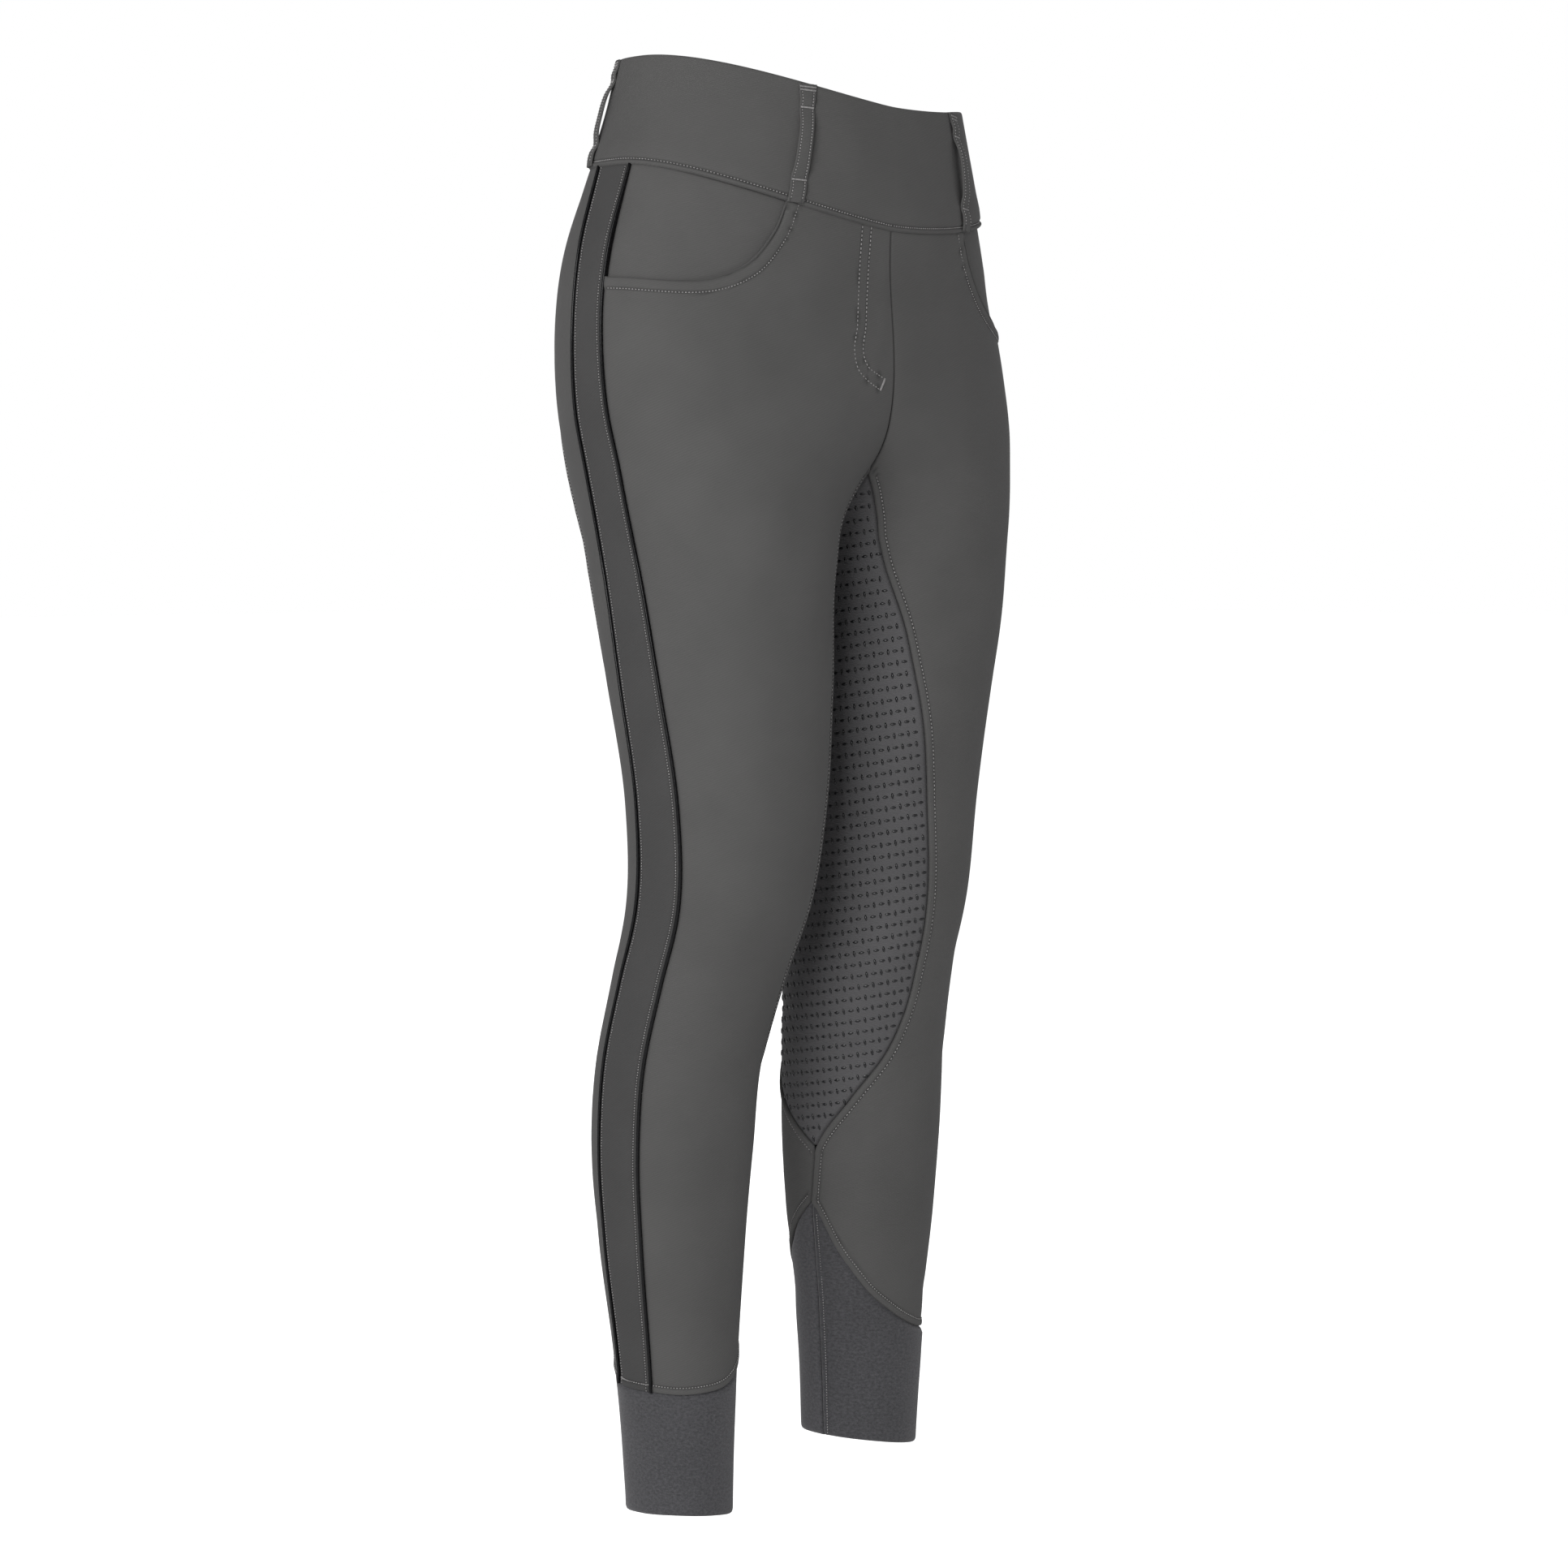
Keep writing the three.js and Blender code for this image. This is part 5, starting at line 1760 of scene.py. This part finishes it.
# ---------- cuffs ----------
@dataclass
class Cuff:
    """Jersey ankle cuff, seamed at the inner leg and folded at its hem."""

    seams: Seams
    fold_in: float = 1.9            # how far the hem's fold turns in
    fold_tall: float = 4.5          # the height over which it does
    gather: float = 0.25            # depth of its slow waves
    swell_ease: float = 5.0         # where it is filled out, below the shell's hem
    rise_ease: float = 4.0          # where it comes level with the shell, below the hem

    def swell(self, angle: Array, z: Array, below: Array) -> Array:
        """How far the jersey fills out or tapers below the shell's hem."""
        table = CUFF_SWELL[self.seams.side]
        outer = 0.5 + 0.5 * np.cos(np.radians(angle))
        filled = mix(table.read("inner", z), table.read("outer", z), outer)
        return filled * ease(0, self.swell_ease, below)

    def sunk(self, below: Array) -> Array:
        """Stand of the jersey: pressed in behind the shell's hem, then swelling level with it."""
        return -CUFF_SUNK + (CUFF_SUNK - 0.1) * ease(0, self.rise_ease, below)

    def build(self, finishes: Finishes) -> bpy.types.Object:
        """Builds the tube as a strip whose two ends meet at the seam, with its topstitch."""
        side = self.seams.side
        turn = np.linspace(0, 1, 118)
        turn = np.concatenate([turn[:1], [0.004, 0.009, 0.016, 0.025, 0.035, 0.045], turn[6:-4],
                               [0.975, 0.985, 0.992, 0.997], turn[-1:]])
        down = np.concatenate([np.linspace(0, 0.965, 34), [0.978, 0.987, 0.994, 1.0]])
        u, v = np.meshgrid(turn, down)
        ring = mix(SPLIT_ANGLE - 360, SPLIT_ANGLE, u)
        hem = np.where(ring <= HEM_FRONT.keys[-1], HEM_FRONT.read("z", ring),
                       HEM_BACK.read("z", ring))
        foot = CUFF_HEM[side].at(ring)
        z = mix(hem + CUFF_OVERLAP, foot, v)
        angle = ring + CUFF_SEAM.read("angle", z) - SPLIT_ANGLE
        points, normals = BODY.skin(side, angle, z)
        seam = Line(side, lambda t: spots(CUFF_SEAM.read("angle", mix(-740, -940, t)),
                                          mix(-740.0, -940.0, t)), 200)
        stitch = Line(side, lambda t: spots(CUFF_STITCH.read("angle", mix(-762, -938, t)),
                                            mix(-762.0, -938.0, t)), 200)
        d, _ = seam.nearest(points)
        below = hem - z
        sunk = self.sunk(below) + self.swell(angle, z, below)
        fold = -self.fold_in * rounded((z - foot) / self.fold_tall)
        gather = self.gather * np.sin(ring / 9 + z / 60) * ease(0, 30, below)
        pull, dark = Groove(stitch, 0.3, 0.9, 0.12).act(points)
        ridge = 0.35 * bell(d, 1.2, 1.6) - 0.7 * bell(d, 0.7)
        height = sunk + fold + gather + pull + ridge
        shade = np.maximum(dark, 0.8 * bell(d, 0.8))
        # the cuff's tone, with painted shade of a fold at the left cuff's front beside the seam
        shade = np.maximum(shade, CUFF_TONE_AND_PAINTED_SHADE[side].read("tone", u))
        outer = points + normals * height[..., None]
        inner = points + normals * (sunk + 0.8 * fold - CUFF_WALL)[..., None]
        weave = np.stack([u * 250, z, np.zeros_like(z)], -1)
        shape = wall(outer, inner, weave, shade)
        node = f"cuff_{side.word}"
        piece = shape.put(node + "_cloth", finishes.cuff)
        declare(piece, node, "cuff", shape)
        stitching = Stitching()
        place = Row(stitch, pitch=CUFF_PITCH).places()
        where = stitch.at(place)
        base, out = BODY.skin(side, *where.T)
        below = SPLIT_TOP - where[:, 1]
        lift = self.sunk(below) + self.swell(where[:, 0], where[:, 1], below) - 0.25
        clear = self.seams["hem_front"].nearest(base)[0] > 1.5
        clear &= where[:, 1] > CUFF_HEM[side].at(where[:, 0]) + CUFF_ROW_END
        run = np.gradient(base, axis=0)
        stitching.add((base + out * (lift + 0.1)[:, None])[clear], run[clear], out[clear],
                      CUFF_STITCH_LENGTH)
        stitching.sew_on(node, "cuff", finishes)
        return piece


# ---------- waistband and belt loops ----------
@dataclass
class Waistband:
    """One wide strip round the waist, folded at the top, with a rolled lip over the seam."""

    depth: float = 1.5              # how far its lip comes down over the panels
    columns: int = 300
    fold: float = 2.2               # radius of the fold at its top
    edge: float = 1.9               # radius of its lip's edge
    edge_drop: float = 2.3          # how far that edge turns in

    def profile(self, v: Array, height: Array) -> Array:
        """Stand of the face: rounded at the top fold, padded, drawn in, then a rolled lip.

        Args:
            v: shares from the top edge to the lip's edge.
            height: the band's height there, in millimetres.

        Returns:
            Heights over the body surface.
        """
        up = v * height
        low = (1 - v) * height
        fold = self.fold * rounded(up / self.fold)
        padded = 1.5 + 0.5 * np.sin(np.pi * v) + 0.5 * bell(low, 7, 12)
        groove = -1.15 * bell(low, 1.0, BAND_ROW)
        edge = self.edge_drop * rounded(low / self.edge)
        roll = 0.35 * bell(low, 1.4, 2.2)
        return padded - fold + groove + roll - edge

    def build(self, finishes: Finishes) -> bpy.types.Object:
        """Builds the band and its lower row of stitching."""
        share = np.linspace(1, -1, self.columns // 2 + 1)
        down = np.concatenate([[0, 0.004, 0.012, 0.022, 0.034, 0.055], np.linspace(0.08, 0.84, 18),
                               [0.865, 0.885, 0.9, 0.912, 0.922, 0.932, 0.942, 0.952, 0.962,
                                0.972, 0.981, 0.988, 0.994, 0.998, 1.0]])
        halves = []
        for side in (Side.RIGHT, Side.LEFT):
            turn, v = np.meshgrid(share if side is Side.RIGHT else share[::-1], down)
            angle = turn * 90
            top, seam = band_top(angle), waist_seam(angle) - self.depth
            z = mix(top, seam, v)
            place = turn * BODY.reach(z)
            points, normals = BODY.skin(side, place, z)
            tall = top - seam
            stand = self.profile(v, tall) + drift(points) * 1.3
            wave = 0.25 * np.sin(place / 5.5) * bell(v, 0.03, 0.93)
            low = (1 - v) * tall
            inside = np.where(low < 2.6, np.minimum(-0.1 + 0 * v, stand - 0.1), -1.3)
            dark = 0.95 * bell(low, 0.8, BAND_ROW)
            run = BODY.around(side, place, z, 0.0) * side.value
            cell = slice(None) if side is Side.RIGHT else slice(1, None)
            halves.append((
                (points + normals * (stand + wave)[..., None])[:, cell],
                (points + normals * inside[..., None])[:, cell],
                np.stack([-run, z, np.zeros_like(z)], -1)[:, cell], dark[:, cell]))
        outer, inner, weave, shade = (np.concatenate(pair, axis=1) for pair in zip(*halves))
        shape = wall(outer, inner, weave, shade)
        piece = shape.put("waistband_cloth", finishes.shell)
        declare(piece, "waistband", "shell", shape)
        self.stitch(finishes)
        return piece

    def stitch(self, finishes: Finishes) -> None:
        """Sews the row over the lip, all round."""
        stitching = Stitching()
        for side in (Side.RIGHT, Side.LEFT):
            angle = np.linspace(-90, 90, 900)
            top, seam = band_top(angle), waist_seam(angle) - self.depth
            tall = top - seam
            v = 1 - BAND_ROW / tall
            z = mix(top, seam, v)
            place = angle / 90 * BODY.reach(z)
            points, normals = BODY.skin(side, place, z)
            points = points + normals * (self.profile(v, tall) + 0.25)[:, None]
            along = np.concatenate([[0], np.linalg.norm(np.diff(points, axis=0), axis=1).cumsum()])
            at = np.arange(1.5, along[-1], BAND_PITCH)
            middle = np.stack([np.interp(at, along, points[:, k]) for k in range(3)], 1)
            out = unit(np.stack([np.interp(at, along, normals[:, k]) for k in range(3)], 1))
            stitching.add(middle, np.gradient(middle, axis=0), out, BAND_STITCH_LENGTH)
        stitching.sew_on("waistband", "shell", finishes)


@dataclass
class BeltLoop:
    """A narrow strip that stands off the waistband between its tacks."""

    node: str
    side: Side
    angle: float

    def build(self, finishes: Finishes) -> bpy.types.Object:
        """Builds the strip, its two rows of stitching and its bartacks."""
        u, v = np.meshgrid(np.concatenate([[-1, -0.96, -0.88], np.linspace(-0.78, 0.78, 15),
                                           [0.88, 0.96, 1]]), np.linspace(0, 1, 110))
        points, normals, z = self.under(u, v)
        tall = self.tall
        stand = LOOP_PROFILE.read("stand", v) + LOOP_STAND
        d = (1 - np.abs(u)) * LOOP_WIDTH / 2
        soft = 0.5 * rounded(d / 0.9)
        row = bell(d, 0.55, LOOP_ROW)
        groove = 0.35 * row
        crown = 0.25 * (1 - u ** 2)
        tacks = sum(bell((v - s) * tall, 0.9) for s in LOOP_TACKS)
        height = stand - soft - groove + crown - 0.45 * tacks
        outer = points + normals * height[..., None]
        inner = points + normals * (stand - LOOP_THICKNESS)[..., None]
        shade = np.clip(0.6 * row + 0.5 * tacks, 0, 0.8)
        weave = np.stack([u * LOOP_WIDTH / 2, z, np.zeros_like(z)], -1)
        shape = wall(outer, inner, weave, shade)
        piece = shape.put(self.node + "_cloth", finishes.shell)
        declare(piece, self.node, "shell", shape)
        stitching = Stitching()
        share = np.arange(0.05, 0.96, LOOP_PITCH / tall)
        for across in (-1, 1):
            self.sew(stitching, share, across * (1 - LOOP_ROW / (LOOP_WIDTH / 2)))
        for mark in LOOP_TACKS:
            self.bar(stitching, mark)
        stitching.sew_on(self.node, "shell", finishes)
        return piece

    def ends(self) -> tuple[float, float]:
        """Heights of the loop's top and foot."""
        at = np.array(self.angle)
        return float(band_top(at)) - LOOP_BELOW, float(waist_seam(at)) - LOOP_TAIL

    @property
    def tall(self) -> float:
        """The loop's height."""
        top, foot = self.ends()
        return top - foot

    def under(self, u: Array, v: Array) -> tuple[Array, Array, Array]:
        """The body surface under the loop.

        Args:
            u: shares across the loop, -1 and 1 at its edges.
            v: shares down it.

        Returns:
            Points, normals and heights.
        """
        top, foot = self.ends()
        pair = BODY.point(self.side, np.array([self.angle, self.angle + 1]), np.zeros(2))
        degree = float(np.linalg.norm(pair[1] - pair[0]))
        half = LOOP_WIDTH / degree / 2 * LOOP_PROFILE.read("width", v)
        z = mix(top, foot, v)
        points, normals = BODY.skin(self.side, self.angle + u * half, z)
        return points, normals, z

    def face(self, u: Array, v: Array) -> tuple[Array, Array]:
        """Points and normals on the loop's face at shares across and down it."""
        points, normals, _ = self.under(u, v)
        return points + normals * (LOOP_PROFILE.read("stand", v) + LOOP_STAND)[:, None], normals

    def sew(self, stitching: Stitching, v: Array, u: float) -> None:
        """A row of stitches down the loop."""
        points, normals = self.face(np.full(len(v), u), v)
        stitching.add(points - normals * 0.1, np.gradient(points, axis=0), normals,
                      BAND_STITCH_LENGTH)

    def bar(self, stitching: Stitching, v: float) -> None:
        """A bartack across the loop: close stitches that lie down it."""
        u = np.linspace(-0.86, 0.86, 20)
        points, normals = self.face(u, np.full(len(u), v))
        ahead, _ = self.face(u, np.full(len(u), v + 0.01))
        stitching.add(points - normals * 0.15, ahead - points, normals, 1.5, 0.5)


# ---------- stage ----------
@dataclass(frozen=True)
class Studio:
    """Pale floor, soft lights and the camera."""

    floor_z: float = -1.02
    camera_at: tuple = (-1.9103, -1.9782, -0.28)
    look_at: tuple = (0.0, 0.0, -0.45)
    lens: float = 90.71

    def build(self) -> None:
        """Makes the floor, the lights, the surroundings and the camera."""
        size = 30.0
        mesh = bpy.data.meshes.new("studio_floor")
        corners = [(-size, -size), (size, -size), (size, size), (-size, size)]
        mesh.from_pydata([(x, y, self.floor_z) for x, y in corners], [], [(0, 1, 2, 3)])
        material = bpy.data.materials.new("pale floor")
        material.use_nodes = True
        shader = material.node_tree.nodes["Principled BSDF"]
        shader.inputs["Base Color"].default_value = (0.93, 0.93, 0.93, 1.0)
        shader.inputs["Roughness"].default_value = 0.9
        shader.inputs["Emission Color"].default_value = (1.0, 1.0, 1.0, 1.0)
        g = Graph(material.node_tree)
        path = g.node("ShaderNodeLightPath")
        glow = g.sum("MULTIPLY", path.outputs["Is Camera Ray"], 0.9)
        material.node_tree.links.new(glow, shader.inputs["Emission Strength"])
        mesh.materials.append(material)
        floor = bpy.data.objects.new("studio_floor", mesh)
        bpy.context.scene.collection.objects.link(floor)
        self.light("key", (-2.88, -1.40, 0.5), (0, 0, -0.45), 1.6, 62.0)
        self.light("side rim", (-1.3, 2.7, 0.1), (0, 0, -0.4), 1.2, 2.0)
        self.light("far rim", (2.75, -1.2, 0.1), (0, 0, -0.4), 1.2, 10.5)
        self.light("back fill", (2.4, 2.2, 0.6), (0, 0, -0.45), 1.8, 20.0)
        self.surroundings()
        camera = bpy.data.cameras.new("camera")
        camera.lens = self.lens
        camera.sensor_width = 36.0
        camera.clip_end = 100.0
        holder = bpy.data.objects.new("camera", camera)
        self.aim(holder, self.camera_at, self.look_at)
        bpy.context.scene.collection.objects.link(holder)
        bpy.context.scene.camera = holder

    def aim(self, holder: bpy.types.Object, at: tuple, to: tuple) -> None:
        """Places an object and points it at something."""
        holder.location = at
        holder.rotation_euler = (Vector(to) - Vector(at)).to_track_quat("-Z", "Y").to_euler()

    def light(self, name: str, at: tuple, to: tuple, size: float, power: float) -> None:
        """A square soft light."""
        lamp = bpy.data.lights.new(name, "AREA")
        lamp.size = size
        lamp.energy = power
        holder = bpy.data.objects.new(name, lamp)
        self.aim(holder, at, to)
        bpy.context.scene.collection.objects.link(holder)

    def surroundings(self) -> None:
        """A plain white room that gives less light than it shows."""
        world = bpy.data.worlds.new("white room")
        world.use_nodes = True
        g = Graph(world.node_tree)
        world.node_tree.nodes.clear()
        seen = g.node("ShaderNodeBackground", {0: (1.0, 1.0, 1.0, 1.0), 1: 1.0})
        given = g.node("ShaderNodeBackground", {0: (1.0, 1.0, 1.0, 1.0), 1: 0.25})
        path = g.node("ShaderNodeLightPath")
        both = g.node("ShaderNodeMixShader", {0: path.outputs["Is Camera Ray"],
                                              1: given.outputs[0], 2: seen.outputs[0]})
        g.node("ShaderNodeOutputWorld", {0: both.outputs[0]})
        bpy.context.scene.world = world
        bpy.context.scene.view_settings.view_transform = "Standard"


BELT_LOOPS = (
    BeltLoop("belt_loop_front_right", Side.RIGHT, -61.0),
    BeltLoop("belt_loop_front_left", Side.LEFT, -58.5),
    BeltLoop("belt_loop_back_right", Side.RIGHT, 20.0),
    BeltLoop("belt_loop_back_left", Side.LEFT, 20.0),
    BeltLoop("belt_loop_centre_back", Side.LEFT, 90.0),
)


def main() -> None:
    """Builds the whole garment and the studio, and reports each piece."""
    logging.basicConfig(level=logging.INFO, format="%(name)s: %(message)s")
    Studio().build()
    finishes = Finishes()
    Waistband().build(finishes)
    for loop in BELT_LOOPS:
        loop.build(finishes)
    for side in Side:
        seams = Seams(side)
        grip = seat_grip(seams, finishes)
        for panel in (front_panel(seams, finishes), back_panel(seams, finishes), grip,
                      side_stripe(seams, finishes), pocket_facing(seams, finishes)):
            panel.build(finishes)
            LOG.info("built %s", panel.node)
        GripPrint(seams, grip).build(finishes)
        for edge in ("front", "back"):
            Piping(seams, edge).build(finishes)
        Cuff(seams).build(finishes)


if __name__ == "__main__":
    main()
